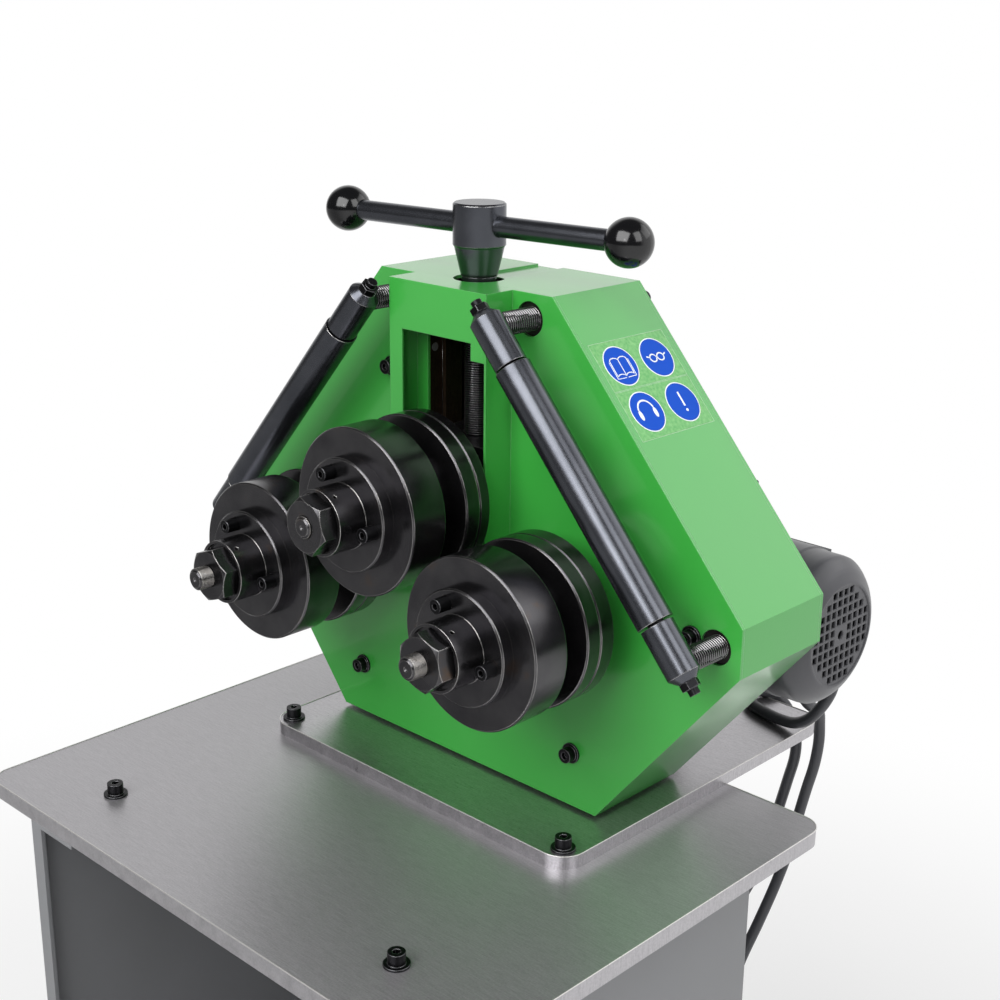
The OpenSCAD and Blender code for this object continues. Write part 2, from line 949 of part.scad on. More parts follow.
module left_shaft()
{
    color("dimgray") at_roller(-lower_x, lower_z)
        roller_shaft(lower_rear_y, lower_shoulder, shaft_end_y, lower_tip);
}
module left_front_disc() { color("dimgray") at_roller(-lower_x, lower_z) roller_front_disc(); }
module left_core() { color("dimgray") at_roller(-lower_x, lower_z) roller_core(); }
module left_rear_discs()
{
    color("dimgray") at_roller(-lower_x, lower_z)
        roller_rear_discs(lower_rear_y);
}
module left_flange() { color("dimgray") at_roller(-lower_x, lower_z) roller_flange(); }
left_nut_angle = 20;
module left_nut() { color("dimgray") at_roller(-lower_x, lower_z) roller_nut(left_nut_angle); }
module left_screws() { color("black") at_roller(-lower_x, lower_z) roller_screws(); }

// straight sided teeth, tip and root taken from the module
tip_share = 0.1;
root_share = 0.31;
foot_depth_share = 1.25;
function tooth_pts(teeth, phase) = let (p = 360 / teeth, r = gear_m * teeth * half)
    [for (i = [0 : teeth - 1], k = [0 : 3])
        let (a = phase + i * p + [-root_share, -tip_share, tip_share, root_share][k] * p,
             q = (k == 0 || k == 3) ? r - foot_depth_share * gear_m : r + gear_m)
        [q * cos(a), q * sin(a)]];

module gear(teeth, phase, hub_d)
{
    difference()
    {
        union()
        {
            translate([0, gear_y0 + gear_w, 0])
                rotate([90, 0, 0])
                    linear_extrude(gear_w)
                        polygon(tooth_pts(teeth, phase));
            y_bar(hub_d * half, gear_y0, gear_back);
        }
        y_bar(shaft_d * half, gear_y0 - over, gear_back + over);
    }
}

// teeth of the roller gears meet gaps of the driving gear on the centre line
mesh_angle = atan2(lower_z - pinion_z, lower_x);
gear_pitch = 360 / gear_teeth;
pinion_pitch = 360 / pinion_teeth;
pinion_phase = mesh_angle;
left_mesh = 180 - mesh_angle;
left_slip = (left_mesh - pinion_phase) / pinion_pitch;
left_frac = left_slip - floor(left_slip);
right_gear_phase = mesh_angle + 180 + gear_pitch * half;
left_gear_phase = left_mesh + 180 + gear_pitch * (half + left_frac);

module right_gear()
{
    color("slategray") at_roller(lower_x, lower_z)
        gear(gear_teeth, right_gear_phase, gear_hub_d);
}
module left_gear()
{
    color("slategray") at_roller(-lower_x, lower_z)
        gear(gear_teeth, left_gear_phase, gear_hub_d);
}

pinion_out = 30;
pinion_back = case_d + pinion_out;
pinion_front = carrier_y0 + fit_c;
module drive_pinion()
{
    color("slategray") at_roller(0, pinion_z)
    {
        gear(pinion_teeth, pinion_phase, gear_hub_d);
        y_bar(shaft_d * half, pinion_front, pinion_back);
    }
}

// worm gearbox: wheel housing, worm tube and motor flange
house_y0 = motor_y - house_w * half;
module gearbox()
{
    color("gray") at_machine() difference()
    {
        union()
        {
            y_bar(wheel_house_d * half, house_y0, motor_y + house_w * half, 0, pinion_z);
            y_bar(gear_hub_d, case_d, house_y0 + over, 0, pinion_z);
            translate([-worm_tube_x, motor_y, motor_z])
                rotate([0, 90, 0])
                    cylinder(d = worm_tube_d, h = 2 * worm_tube_x);
            translate([worm_tube_x - over, motor_y, motor_z])
                rotate([0, 90, 0])
                    cylinder(d = motor_flange_d, h = motor_flange_t + over);
            // feet on the base plate
            for (sx = [-1, 1])
                translate([sx * foot_x - foot_hw, house_y0, -case_gap])
                    cube([2 * foot_hw, house_w, pinion_z + case_gap]);
        }
        y_bar(shaft_d * half + fit_c, case_d - over, pinion_back + over, 0, pinion_z);
        // bore of the motor shaft
        translate([worm_tube_x - motor_shaft_l, motor_y, motor_z])
            rotate([0, 90, 0])
                cylinder(d = motor_shaft_d + 2 * fit_c, h = motor_shaft_l + motor_flange_t + over);
    }
}
foot_x = 50;
foot_hw = 9;
motor_shaft_l = 40;
motor_shaft_d = 19;

fin_count = 36;
fin_h = 6;
fin_half_share = 0.18;
fin_foot_share = 0.28;
function fin_pts() = let (p = 360 / fin_count, r = motor_d * half)
    [for (i = [0 : fin_count - 1], k = [0 : 3])
        let (a = i * p + [-fin_foot_share, -fin_half_share, fin_half_share, fin_foot_share][k] * p,
            q = (k == 0 || k == 3) ? r - fin_h : r)
        [q * cos(a), q * sin(a)]];

module x_turned(points)
{
    translate([0, motor_y, motor_z])
        rotate([0, 90, 0])
            rotate_extrude()
                polygon(points);
}

shield_l = 14;
shield_in = 9;
shield_extra = 0.5;
shield_r = motor_d * half + shield_extra;
module motor_body()
{
    color("dimgray") at_machine() difference()
    {
        union()
        {
            translate([motor_x0 + shield_l - over, motor_y, motor_z])
                rotate([0, 90, 0])
                    linear_extrude(cover_start_x - motor_x0 - shield_l - gap_c - seat_l + over)
                        polygon(fin_pts());
            x_turned([[0, motor_x0], [motor_d * half - shield_in, motor_x0],
                [shield_r, motor_x0 + fin_h], [shield_r, motor_x0 + shield_l],
                [0, motor_x0 + shield_l]]);
            // seat of the fan cover
            x_turned([[0, cover_start_x - seat_l - gap_c - over],
                [cover_in, cover_start_x - seat_l - gap_c - over],
                [cover_in, cover_start_x + seat_l], [0, cover_start_x + seat_l]]);
        }
        // bore of the fan shaft
        translate([motor_x0 - over, motor_y, motor_z])
            rotate([0, 90, 0])
                cylinder(d = motor_shaft_d + 2 * fit_c, h = cover_end_x - motor_x0);
    }
}
seat_l = 8;
cover_t = 2.5;
cover_in = cover_d * half - cover_t;

face_share = 0.689;
rim_w = 2;
rim_t = 0.8;
slot_z = 6.2;
slot_y = 5.9;
slot_pitch = 8.5;
slot_rows = 5;
grille_r = 41;
hub_hole_d = 8;
// outline of the moulded cover as shares of its length and of its radius: cylinder, fine
// step, band, and the rounded end that runs into the rim of the grille
cover_x_shares = [0.43, 0.445, 0.551, 0.727, 0.781, 0.808, 0.835, 0.862, 0.889, 0.916, 0.943,
    0.97, 0.992];
cover_r_shares = [1, 0.985, 0.979, 0.979, 0.973, 0.957, 0.935, 0.909, 0.881, 0.849, 0.808,
    0.757, 0.71];
round_from = 5;
module fan_cover()
{
    r = cover_d * half;
    face_r = r * face_share;
    x0 = cover_start_x;
    n = len(cover_x_shares);
    outer = [for (i = [0 : n - 1]) [r * cover_r_shares[i], x0 + cover_l * cover_x_shares[i]]];
    inner = [for (i = [n - 1 : -1 : 0])
        outer[i] - [cover_t, i < round_from ? 0 : cover_t]];
    face_x = cover_end_x - rim_t;
    color("dimgray") at_machine() difference()
    {
        x_turned(concat([[r - cover_t, x0], [r, x0]], outer,
            [[face_r, cover_end_x], [face_r - rim_w, cover_end_x], [face_r - rim_w, face_x],
            [0, face_x], [0, face_x - cover_t], [face_r - cover_t, face_x - cover_t]], inner));
        // rows of air slots, kept inside a circle
        for (i = [-slot_rows : slot_rows - 1], j = [-slot_rows : slot_rows - 1])
        {
            z = (i + half) * slot_pitch;
            y = (j + half) * slot_pitch;
            if (norm([y, z]) < grille_r && norm([y, z]) > slot_pitch)
                translate([face_x - cover_t * half, motor_y + y, motor_z + z])
                    cube([2 * cover_t, slot_y, slot_z], center = true);
        }
        translate([face_x - 2 * cover_t, motor_y, motor_z])
            rotate([0, 90, 0])
                cylinder(d = hub_hole_d, h = 3 * cover_t);
    }
}

fan_r = 52;
fan_hub_r = 18;
fan_blades = 7;
blade_t = 3;
blade_l = 44;
fan_gap = 4;
fan_x0 = cover_start_x + seat_l + fan_gap;
module motor_fan()
{
    color("black") at_machine()
    {
        // rotor shaft from the gearbox to the fan
        translate([worm_tube_x - motor_shaft_l + over, motor_y, motor_z])
            rotate([0, 90, 0])
                cylinder(d = motor_shaft_d, h = fan_x0 + blade_l + over - worm_tube_x + motor_shaft_l);
        translate([fan_x0, motor_y, motor_z])
            rotate([0, 90, 0])
            {
                cylinder(r = fan_hub_r, h = blade_l);
                for (k = [0 : fan_blades - 1])
                    rotate(k * 360 / fan_blades)
                        translate([fan_hub_r - over, -blade_t * half, over])
                            cube([fan_r - fan_hub_r, blade_t, blade_l - 2 * over]);
            }
    }
}

// routes of the two leads, in the machine's frame
lead_a = [[212, 260, 128], [223, 260, 128], [231, 259, 114], [231, 258, 92], [230, 257, 72],
    [226, 256, 52], [216, 257, 33], [203, 259, 17], [187, 261, 7], [168, 264, 3.5],
    [148, 268, 3], [128, 275, 3], [116, 286, 3.5], [116, 300, 4], [126, 314, 0],
    [140, 320, -12], [152, 320, -36], [154, 319, -60], [148, 318, -90], [141, 316, -124],
    [136, 310, -158], [132, 294, -194], [126, 268, -228], [122, 240, -258], [120, 218, -288],
    [120, 206, -314], [120, 206, -334]];
lead_b = [[176, 262, 92], [176, 262, 80], [177, 266, 60], [179, 274, 38], [182, 288, 18],
    [182, 302, 7], [183, 310, 0], [181, 316, -14], [180, 319, -36], [177, 319, -62], [171, 318, -90],
    [165, 317, -120], [162, 309, -156], [160, 291, -192], [160, 265, -224], [160, 238, -254],
    [160, 217, -286], [160, 206, -314], [160, 206, -334]];

term_w = 92;
term_h = 70;
term_t = 42;
gland_d = 18;
gland_l = 16;
term_x = lead_a[0][0] - gland_l - term_w * half;
term_z = lead_b[0][2] + gland_l;
term_y0 = motor_y + motor_d * half + gap_c;
module terminal_box()
{
    color("dimgray") at_machine()
    {
        translate([term_x - term_w * half, term_y0, term_z])
            cube([term_w, term_t, term_h]);
        // glands of the two leads, one on the right face and one below
        translate(lead_a[0])
            rotate([0, -90, 0])
                cylinder(d = gland_d, h = gland_l + over);
        translate(lead_b[0])
            cylinder(d = gland_d, h = gland_l + over);
    }
}

// control box hung on the back of the pedestal, with two glands on its top
box_x = 140;
ctrl_w = 160;
ctrl_d = 110;
ctrl_h = 220;
ctrl_top = -350;
module control_box()
{
    color("dimgray") at_machine()
    {
        translate([box_x - ctrl_w * half, table_rear, ctrl_top - ctrl_h])
            cube([ctrl_w, ctrl_d, ctrl_h]);
        for (p = [lead_a[len(lead_a) - 1], lead_b[len(lead_b) - 1]])
            translate([p[0], p[1], ctrl_top - over])
                cylinder(d = gland_d, h = p[2] - ctrl_top + over);
    }
}

lead_sides = 10;
steep_share = 0.8;
function frame_up(t) = abs(t[1]) < steep_share ? [0, 1, 0] : [0, 0, 1];
function ring_at(p, t, r) = let (e = unit(cross(t, frame_up(t))), f = cross(e, t))
    [for (k = [0 : lead_sides - 1])
        p + r * (cos(k * 360 / lead_sides) * e + sin(k * 360 / lead_sides) * f)];
function tangent(p, i) = let (n = len(p))
    i == 0 ? unit(p[1] - p[0]) : i == n - 1 ? unit(p[n - 1] - p[n - 2])
    : unit(unit(p[i + 1] - p[i]) + unit(p[i] - p[i - 1]));

module tube(route, d)
{
    n = len(route);
    s = lead_sides;
    points = [for (i = [0 : n - 1]) each ring_at(route[i], tangent(route, i), d * half)];
    faces = concat([[for (k = [0 : s - 1]) k]],
        [for (i = [0 : n - 2], k = [0 : s - 1])
            [i * s + k, (i + 1) * s + k, (i + 1) * s + (k + 1) % s, i * s + (k + 1) % s]],
        [[for (k = [s - 1 : -1 : 0]) (n - 1) * s + k]]);
    polyhedron(points, faces);
}

module motor_lead() { color("black") at_machine() tube(lead_a, lead_d); }
module supply_lead() { color("black") at_machine() tube(lead_b, lead_d); }

// side guide: threaded rods along Y, blocks, axle with lock nuts, turning sleeve
guide_angle = atan2(-guide_dir[1], guide_dir[0]);
block_nose = 6;
block_up_s = 36.5;
block_up_s0 = -13;
sleeve_gap = 2;
sleeve_s0 = block_up_s + sleeve_gap;
block_low_in = 33.5;
block_low_s = guide_l - block_low_in;
sleeve_s1 = block_low_s - sleeve_gap;
block_low_out = 14;
block_low_s1 = guide_l + block_low_out;
axle_d = 14;
tip_d = 9;
tip_s0 = -24;
tip_out = 25.3;
tip_s1 = guide_l + tip_out;
lock_af = 14;
lock_t = 6;
rod_back = 42;
rod_inset = 2;
rod_core_share = 0.88;
rod_core_d = rod_d * rod_core_share;
rod_full_y = 2.5;

// puts +Z of a shape on the guide's line, starting at the upper rod
module on_guide()
{
    at_machine()
        translate([rod_up_x, -guide_y, rod_up_z])
            rotate([0, 90 + guide_angle, 0])
                children();
}

module guide_yoke()
{
    r = block_d * half;
    on_guide() difference()
    {
        union()
        {
            rotate_extrude()
                polygon([[0, block_up_s0], [r - block_nose, block_up_s0],
                    [r, block_up_s0 + block_nose], [r, block_up_s], [0, block_up_s]]);
            rotate_extrude()
                polygon([[0, block_low_s], [r, block_low_s], [r, block_low_s1 - block_nose],
                    [r - block_nose, block_low_s1], [0, block_low_s1]]);
        }
        translate([0, 0, block_up_s0 - over])
            cylinder(d = axle_d + 2 * fit_c, h = block_low_s1 - block_up_s0 + 2 * over);
    }
    // rods welded to the blocks behind the axle's bore, thinner where the thread shows
    at_machine() for (p = rod_places)
    {
        y_bar(rod_core_d * half, -guide_y + axle_d * half + rod_inset, rod_full_y + over, p[0], p[1]);
        y_bar(rod_d * half, rod_full_y, rod_back, p[0], p[1]);
    }
}

module guide_axle()
{
    on_guide()
    {
        translate([0, 0, block_up_s0 - over])
            cylinder(d = axle_d, h = block_low_s1 - block_up_s0 + 2 * over);
        translate([0, 0, tip_s0])
            cylinder(d = tip_d, h = tip_s1 - tip_s0);
        for (s = [block_up_s0 - lock_t, block_low_s1 + gap_c])
            translate([0, 0, s])
                cylinder(d = lock_af / cos(30), h = lock_t - gap_c, $fn = 6);
    }
}

module guide_sleeve()
{
    on_guide() translate([0, 0, sleeve_s0])
        difference()
        {
            cylinder(d = sleeve_d, h = sleeve_s1 - sleeve_s0);
            translate([0, 0, -over])
                cylinder(d = axle_d + 2 * fit_c, h = sleeve_s1 - sleeve_s0 + 2 * over);
        }
}

module right_guide_yoke() { color("dimgray") guide_yoke(); }
module right_guide_axle() { color("black") guide_axle(); }
module right_guide_sleeve() { color("dimgray") guide_sleeve(); }
module left_guide_yoke() { color("dimgray") mirror([1, 0, 0]) guide_yoke(); }
module left_guide_axle() { color("black") mirror([1, 0, 0]) guide_axle(); }
module left_guide_sleeve() { color("dimgray") mirror([1, 0, 0]) guide_sleeve(); }

pedestal();
pedestal_back();
pedestal_shelf();
table_plate();
base_plate();
plate_bolts();
front_cover();
side_band();
rear_cover();
front_carrier();
rear_carrier();
tie_bars();
casing_bolts();
slide_ways();
nut_bridge();
frame_bearings();
carriage();
carriage_bearings();
spindle();
handle_hub();
handle_bar();
handle_knobs();
upper_shaft();
upper_front_disc();
upper_core();
upper_rear_discs();
upper_flange();
upper_nut();
upper_screws();
right_shaft();
right_front_disc();
right_core();
right_rear_discs();
right_flange();
right_nut();
right_screws();
right_gear();
left_shaft();
left_front_disc();
left_core();
left_rear_discs();
left_flange();
left_nut();
left_screws();
left_gear();
drive_pinion();
gearbox();
motor_body();
fan_cover();
motor_fan();
terminal_box();
control_box();
motor_lead();
supply_lead();
right_guide_yoke();
right_guide_axle();
right_guide_sleeve();
left_guide_yoke();
left_guide_axle();
left_guide_sleeve();
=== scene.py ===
import bpy
import bmesh
import math
from mathutils import Matrix, Vector


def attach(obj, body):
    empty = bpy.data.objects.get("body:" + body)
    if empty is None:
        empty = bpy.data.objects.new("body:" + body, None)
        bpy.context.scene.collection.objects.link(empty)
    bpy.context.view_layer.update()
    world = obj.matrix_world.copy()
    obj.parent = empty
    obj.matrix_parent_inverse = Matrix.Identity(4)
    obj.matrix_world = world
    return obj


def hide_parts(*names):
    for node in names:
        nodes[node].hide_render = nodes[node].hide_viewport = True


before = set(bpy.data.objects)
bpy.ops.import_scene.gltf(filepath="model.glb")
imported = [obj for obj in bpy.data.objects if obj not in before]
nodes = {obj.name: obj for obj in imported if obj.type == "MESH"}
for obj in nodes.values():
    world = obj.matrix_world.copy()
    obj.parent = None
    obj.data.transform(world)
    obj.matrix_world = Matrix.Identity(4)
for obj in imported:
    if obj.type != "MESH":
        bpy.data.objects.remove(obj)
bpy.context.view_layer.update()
scene = bpy.context.scene
print("frame loaded:", len(nodes), "nodes")

# the casing's own zero point: front plane, bottom edge, middle
caseOrigin = Vector((0.0, 0.0815, 0.895))


def mm(x, y, z):
    # casing millimetres to metres in the frame
    return caseOrigin + Vector((x, y, z)) * 0.001


def linearColour(hexColour, alpha=1.0):
    # sRGB hex to linear
    parts = [int(hexColour[i:i + 2], 16) / 255 for i in (1, 3, 5)]
    return tuple(c / 12.92 if c <= 0.04045 else ((c + 0.055) / 1.055) ** 2.4 for c in parts) + (alpha,)


# camera

cameraSettings = {
    "azimuth": 43.693, "elevation": 17.899, "roll": 0.587,  # degrees
    "place": (933.9, -929.8, 671.7), "lens": 57.257, "sensor": 36, "clipEnd": 60}


def addCamera(s):
    az, el, roll = (math.radians(s[k]) for k in ("azimuth", "elevation", "roll"))
    right = Vector((math.cos(az), math.sin(az), 0))
    back = Vector((math.sin(az) * math.cos(el), -math.cos(az) * math.cos(el), math.sin(el)))
    up = back.cross(right)
    right2 = math.cos(roll) * right + math.sin(roll) * up
    up2 = -math.sin(roll) * right + math.cos(roll) * up
    data = bpy.data.cameras.new("camera")
    data.sensor_fit = "HORIZONTAL"
    data.sensor_width = s["sensor"]
    data.lens = s["lens"]
    data.clip_end = s["clipEnd"]
    cam = bpy.data.objects.new("camera", data)
    scene.collection.objects.link(cam)
    turn = Matrix((right2, up2, back)).transposed().to_4x4()
    cam.matrix_world = Matrix.Translation(mm(*s["place"])) @ turn
    scene.camera = cam


addCamera(cameraSettings)
print("camera placed")

# nodes and materials


def addNode(tree, kind, settings=None, links=None):
    # one shader node, its settings by attribute or socket name, its links as input: output socket
    node = tree.nodes.new(kind)
    for key, value in (settings or {}).items():
        if isinstance(key, str) and hasattr(node, key) and key not in node.inputs:
            setattr(node, key, value)
        else:
            node.inputs[key].default_value = value
    for key, source in (links or {}).items():
        tree.links.new(source, node.inputs[key])
    return node


def newMaterial(name):
    material = bpy.data.materials.new(name)
    material.use_nodes = True
    tree = material.node_tree
    tree.nodes.clear()
    place = addNode(tree, "ShaderNodeTexCoord")
    return material, tree, place


def finishMaterial(tree, settings, links):
    shader = addNode(tree, "ShaderNodeBsdfPrincipled", settings, links)
    addNode(tree, "ShaderNodeOutputMaterial", None, {"Surface": shader.outputs["BSDF"]})
    return shader


def colourRamp(tree, source, stops):
    ramp = addNode(tree, "ShaderNodeValToRGB", None, {"Fac": source})
    elements = ramp.color_ramp.elements
    while len(elements) < len(stops):
        elements.new(0.5)
    for element, (position, colour) in zip(elements, stops):
        element.position = position
        element.color = colour
    return ramp.outputs["Color"]


def grey(v):
    return (v, v, v, 1)


bevelSamples = 6
bumpDepth = 0.0001  # metres that a full bump stands for


def edgeWearAndHighlight(tree, radius, gain):
    # edge wear and a painted highlight: white along edges, where the rounded normal leaves the plain one
    soft = addNode(tree, "ShaderNodeBevel", {"samples": bevelSamples, "Radius": radius})
    plain = addNode(tree, "ShaderNodeNewGeometry")
    same = addNode(tree, "ShaderNodeVectorMath", {"operation": "DOT_PRODUCT"}, {
        0: soft.outputs["Normal"], 1: plain.outputs["Normal"]})
    mask = addNode(tree, "ShaderNodeMath", {
        "operation": "MULTIPLY_ADD", "use_clamp": True, 1: -gain, 2: gain}, {0: same.outputs["Value"]})
    return mask.outputs[0], soft.outputs["Normal"]


def powderCoat(name, s):
    # powder coated sheet steel: baked paint, nearly flat orange peel, a clear gloss that pales at a low
    # angle, slightly paler along the edges, where the coat is thin and a highlight is painted
    material, tree, place = newMaterial(name)
    peel = addNode(tree, "ShaderNodeTexNoise", {"Scale": 1 / s["peelSize"], "Detail": 2, "Roughness": 0.5},
                   {"Vector": place.outputs["Object"]})
    cloud = addNode(tree, "ShaderNodeTexNoise", {"Scale": 1 / s["cloudSize"], "Detail": 3},
                    {"Vector": place.outputs["Object"]})
    colour = colourRamp(tree, cloud.outputs["Fac"], [
        (0.3, linearColour(s["colour"])), (0.75, linearColour(s["colourTwo"]))])
    rough = colourRamp(tree, cloud.outputs["Fac"], [
        (0.3, grey(s["roughness"])), (0.7, grey(s["roughness"] + s["spread"]))])
    edges, soft = edgeWearAndHighlight(tree, s["edgeRadius"], s["edgeGain"])
    share = addNode(tree, "ShaderNodeMath", {"operation": "MULTIPLY", 1: s["edgeShare"]}, {0: edges})
    # paler along the edges: partly thin coat, partly a painted highlight
    thinCoatAndHighlight = addNode(tree, "ShaderNodeMix", {"data_type": "RGBA", 7: linearColour(s["edgeColour"])},
                   {0: share.outputs[0], 6: colour})
    bump = addNode(tree, "ShaderNodeBump", {"Strength": s["peel"], "Distance": bumpDepth * 2},
                   {"Height": peel.outputs["Fac"], "Normal": soft})
    finishMaterial(tree, {"IOR": s["ior"], "Coat Weight": s["coat"], "Coat Roughness": s["coatRoughness"],
                          "Coat IOR": s["ior"]},
                   {"Base Color": thinCoatAndHighlight.outputs[2], "Roughness": rough, "Normal": bump.outputs["Normal"]})
    return material


def groundSteel(name, s):
    # cold rolled plate, ground in one direction: grey, fine scratches, soft sheen
    material, tree, place = newMaterial(name)
    stretch = addNode(tree, "ShaderNodeMapping", {"Scale": s["stretch"]},
                      {"Vector": place.outputs["Object"]})
    scratch = addNode(tree, "ShaderNodeTexNoise", {"Scale": 1 / s["scratch"], "Detail": 4, "Roughness": 0.6},
                      {"Vector": stretch.outputs["Vector"]})
    grain = addNode(tree, "ShaderNodeTexNoise", {"Scale": 1 / s["grain"], "Detail": 3, "Roughness": 0.6},
                    {"Vector": place.outputs["Object"]})
    some = addNode(tree, "ShaderNodeMath", {"operation": "MULTIPLY", 1: s["grainShare"]},
                   {0: grain.outputs["Fac"]})
    both = addNode(tree, "ShaderNodeMath", {"operation": "MULTIPLY_ADD", 1: s["scratchShare"]},
                   {0: scratch.outputs["Fac"], 2: some.outputs[0]})
    colour = colourRamp(tree, both.outputs[0], [
        (0.35, linearColour(s["colour"])), (0.65, linearColour(s["colourTwo"]))])
    smoother, rougher = s["roughSpan"]
    rough = colourRamp(tree, both.outputs[0], [
        (0.3, grey(s["roughness"] - smoother)), (0.7, grey(s["roughness"] + rougher))])
    bump = addNode(tree, "ShaderNodeBump", {"Strength": s["relief"], "Distance": bumpDepth},
                   {"Height": both.outputs[0]})
    finishMaterial(tree, {"Metallic": s["metallic"]},
                   {"Base Color": colour, "Roughness": rough, "Normal": bump.outputs["Normal"]})
    return material


def blackOxide(name, s, centre=None):
    # turned steel with a black oxide finish: dark and satin, bright along the edges, partly worn and
    # partly a painted highlight; with a centre it also has turning rings about the axis along Y through it
    material, tree, place = newMaterial(name)
    wear = addNode(tree, "ShaderNodeTexNoise", {"Scale": 1 / s["cloudSize"], "Detail": 5, "Roughness": 0.6},
                   {"Vector": place.outputs["Object"]})
    fine = addNode(tree, "ShaderNodeTexNoise", {"Scale": 1 / s["speck"], "Detail": 2},
                   {"Vector": place.outputs["Object"]})
    body = colourRamp(tree, wear.outputs["Fac"], [
        (0.3, linearColour(s["colour"])), (0.62, linearColour(s["colourTwo"])),
        (0.8, linearColour(s["stain"]))])
    edges, soft = edgeWearAndHighlight(tree, s["edgeRadius"], s["edgeGain"])
    gaps = colourRamp(tree, fine.outputs["Fac"], [(0.25, grey(0.75)), (0.55, grey(1))])
    broken = addNode(tree, "ShaderNodeMath", {"operation": "MULTIPLY", "use_clamp": True},
                     {0: edges, 1: gaps})
    # whitened edges: partly bare worn metal, partly a painted highlight
    mixed = addNode(tree, "ShaderNodeMix", {"data_type": "RGBA", 7: linearColour(s["edgeColour"])},
                    {0: broken.outputs[0], 6: body})
    rough = colourRamp(tree, wear.outputs["Fac"], [
        (0.3, grey(s["roughness"] - s["spread"])), (0.75, grey(s["roughness"] + s["spread"]))])
    specks = {"Strength": s["relief"], "Distance": bumpDepth}
    under = soft
    if centre is not None:
        shifted = addNode(tree, "ShaderNodeMapping", {"Location": tuple(-c for c in centre)},
                          {"Vector": place.outputs["Object"]})
        rings = addNode(tree, "ShaderNodeTexWave", {
            "wave_type": "RINGS", "rings_direction": "Y", "Scale": s["ringScale"],
            "Distortion": 0.6, "Detail": 2, "Detail Scale": 3}, {"Vector": shifted.outputs["Vector"]})
        under = addNode(tree, "ShaderNodeBump", specks,
                        {"Height": rings.outputs["Fac"], "Normal": soft}).outputs["Normal"]
        specks = dict(specks, Strength=s["relief"] * s["speckShare"])
    bump = addNode(tree, "ShaderNodeBump", specks, {"Height": fine.outputs["Fac"], "Normal": under})
    finishMaterial(tree, {"Metallic": s["metallic"]},
                   {"Base Color": mixed.outputs[2], "Roughness": rough, "Normal": bump.outputs["Normal"]})
    return material


def mouldedPlastic(name, s):
    # moulded plastic: even colour, fine grain, soft highlights
    material, tree, place = newMaterial(name)
    grain = addNode(tree, "ShaderNodeTexNoise", {"Scale": 1 / s["grain"], "Detail": 3},
                    {"Vector": place.outputs["Object"]})
    cloud = addNode(tree, "ShaderNodeTexNoise", {"Scale": s["cloudScale"], "Detail": 2},
                    {"Vector": place.outputs["Object"]})
    colour = colourRamp(tree, cloud.outputs["Fac"], [
        (0.3, linearColour(s["colour"])), (0.7, linearColour(s["colourTwo"]))])
    soft = addNode(tree, "ShaderNodeBevel", {"samples": bevelSamples, "Radius": s["edgeRadius"]})
    bump = addNode(tree, "ShaderNodeBump", {"Strength": s["relief"], "Distance": bumpDepth},
                   {"Height": grain.outputs["Fac"], "Normal": soft.outputs["Normal"]})
    finishMaterial(tree, {"IOR": s["ior"], "Roughness": s["roughness"],
                          "Specular IOR Level": s["specular"]},
                   {"Base Color": colour, "Normal": bump.outputs["Normal"]})
    return material


# sizes of patterns are in metres: orange peel, clouding, scratches, grain and specks, all near real size
# edgeColour is the paler colour along the edges: partly thin coat or wear, partly a painted highlight
greenSettings = {
    "colour": "#349A39", "colourTwo": "#389F3D", "roughness": 0.34, "spread": 0.06, "ior": 1.5,
    "coat": 0.8, "coatRoughness": 0.12, "peelSize": 0.0016, "cloudSize": 0.12, "peel": 0.22,
    "edgeRadius": 0.0012, "edgeGain": 2.5, "edgeColour": "#9FD3A0", "edgeShare": 0.3}
greySettings = {
    "colour": "#77787A", "colourTwo": "#7C7D80", "roughness": 0.45, "spread": 0.06, "ior": 1.5,
    "coat": 0.3, "coatRoughness": 0.3, "peelSize": 0.0014, "cloudSize": 0.15, "peel": 0.25,
    "edgeRadius": 0.001, "edgeGain": 2.5, "edgeColour": "#A9AAAC", "edgeShare": 0.4}
plateSettings = {
    "colour": "#A7A5A8", "colourTwo": "#C2C0C3", "roughness": 0.38, "roughSpan": (0.05, 0.07),
    "metallic": 0.8, "stretch": (1, 14, 1), "scratch": 0.012, "scratchShare": 0.55,
    "grain": 0.0016, "grainShare": 0.45, "relief": 0.3}
# the turning rings are drawn much coarser than a real feed mark, as broad soft waves of about 7 mm
# edgeColour whitens the edges: partly worn metal, partly a painted highlight
oxideSettings = {
    "colour": "#424144", "colourTwo": "#535254", "stain": "#65513F", "edgeColour": "#BEBCBA",
    "roughness": 0.23, "spread": 0.05, "metallic": 0.95, "cloudSize": 0.035, "speck": 0.0012,
    "edgeRadius": 0.0011, "edgeGain": 8, "ringScale": 45, "relief": 0.04, "speckShare": 0.6}
plasticSettings = {
    "colour": "#4A4B4E", "colourTwo": "#4F5053", "roughness": 0.5, "ior": 1.5, "specular": 0.5,
    "cloudScale": 12, "grain": 0.001, "relief": 0.2, "edgeRadius": 0.0008}

# glossy green paint of the casing
greenPaint = powderCoat("greenPowderCoatedSteel", greenSettings)
# duller grey paint of the pedestal
greyPaint = powderCoat("greyPowderCoatedSteel", greySettings)
# dull bright grey table plate, its sheen blurred
groundPlate = groundSteel("groundSteelPlate", plateSettings)
# the plate under the casing, brushed along its width: clearer streaks and a darker mirror of the casing
brushedPlate = groundSteel("brushedSteelPlate", dict(
    plateSettings, colour="#A3A1A4", colourTwo="#C6C4C7", roughness=0.31, metallic=0.94, relief=0.45))
# milled parts inside the casing, darker, with streaks across their height
machinedSteel = groundSteel("machinedSteel", dict(
    plateSettings, colour="#5A5957", colourTwo="#716F6C", stretch=(1, 1, 8), roughness=0.4))
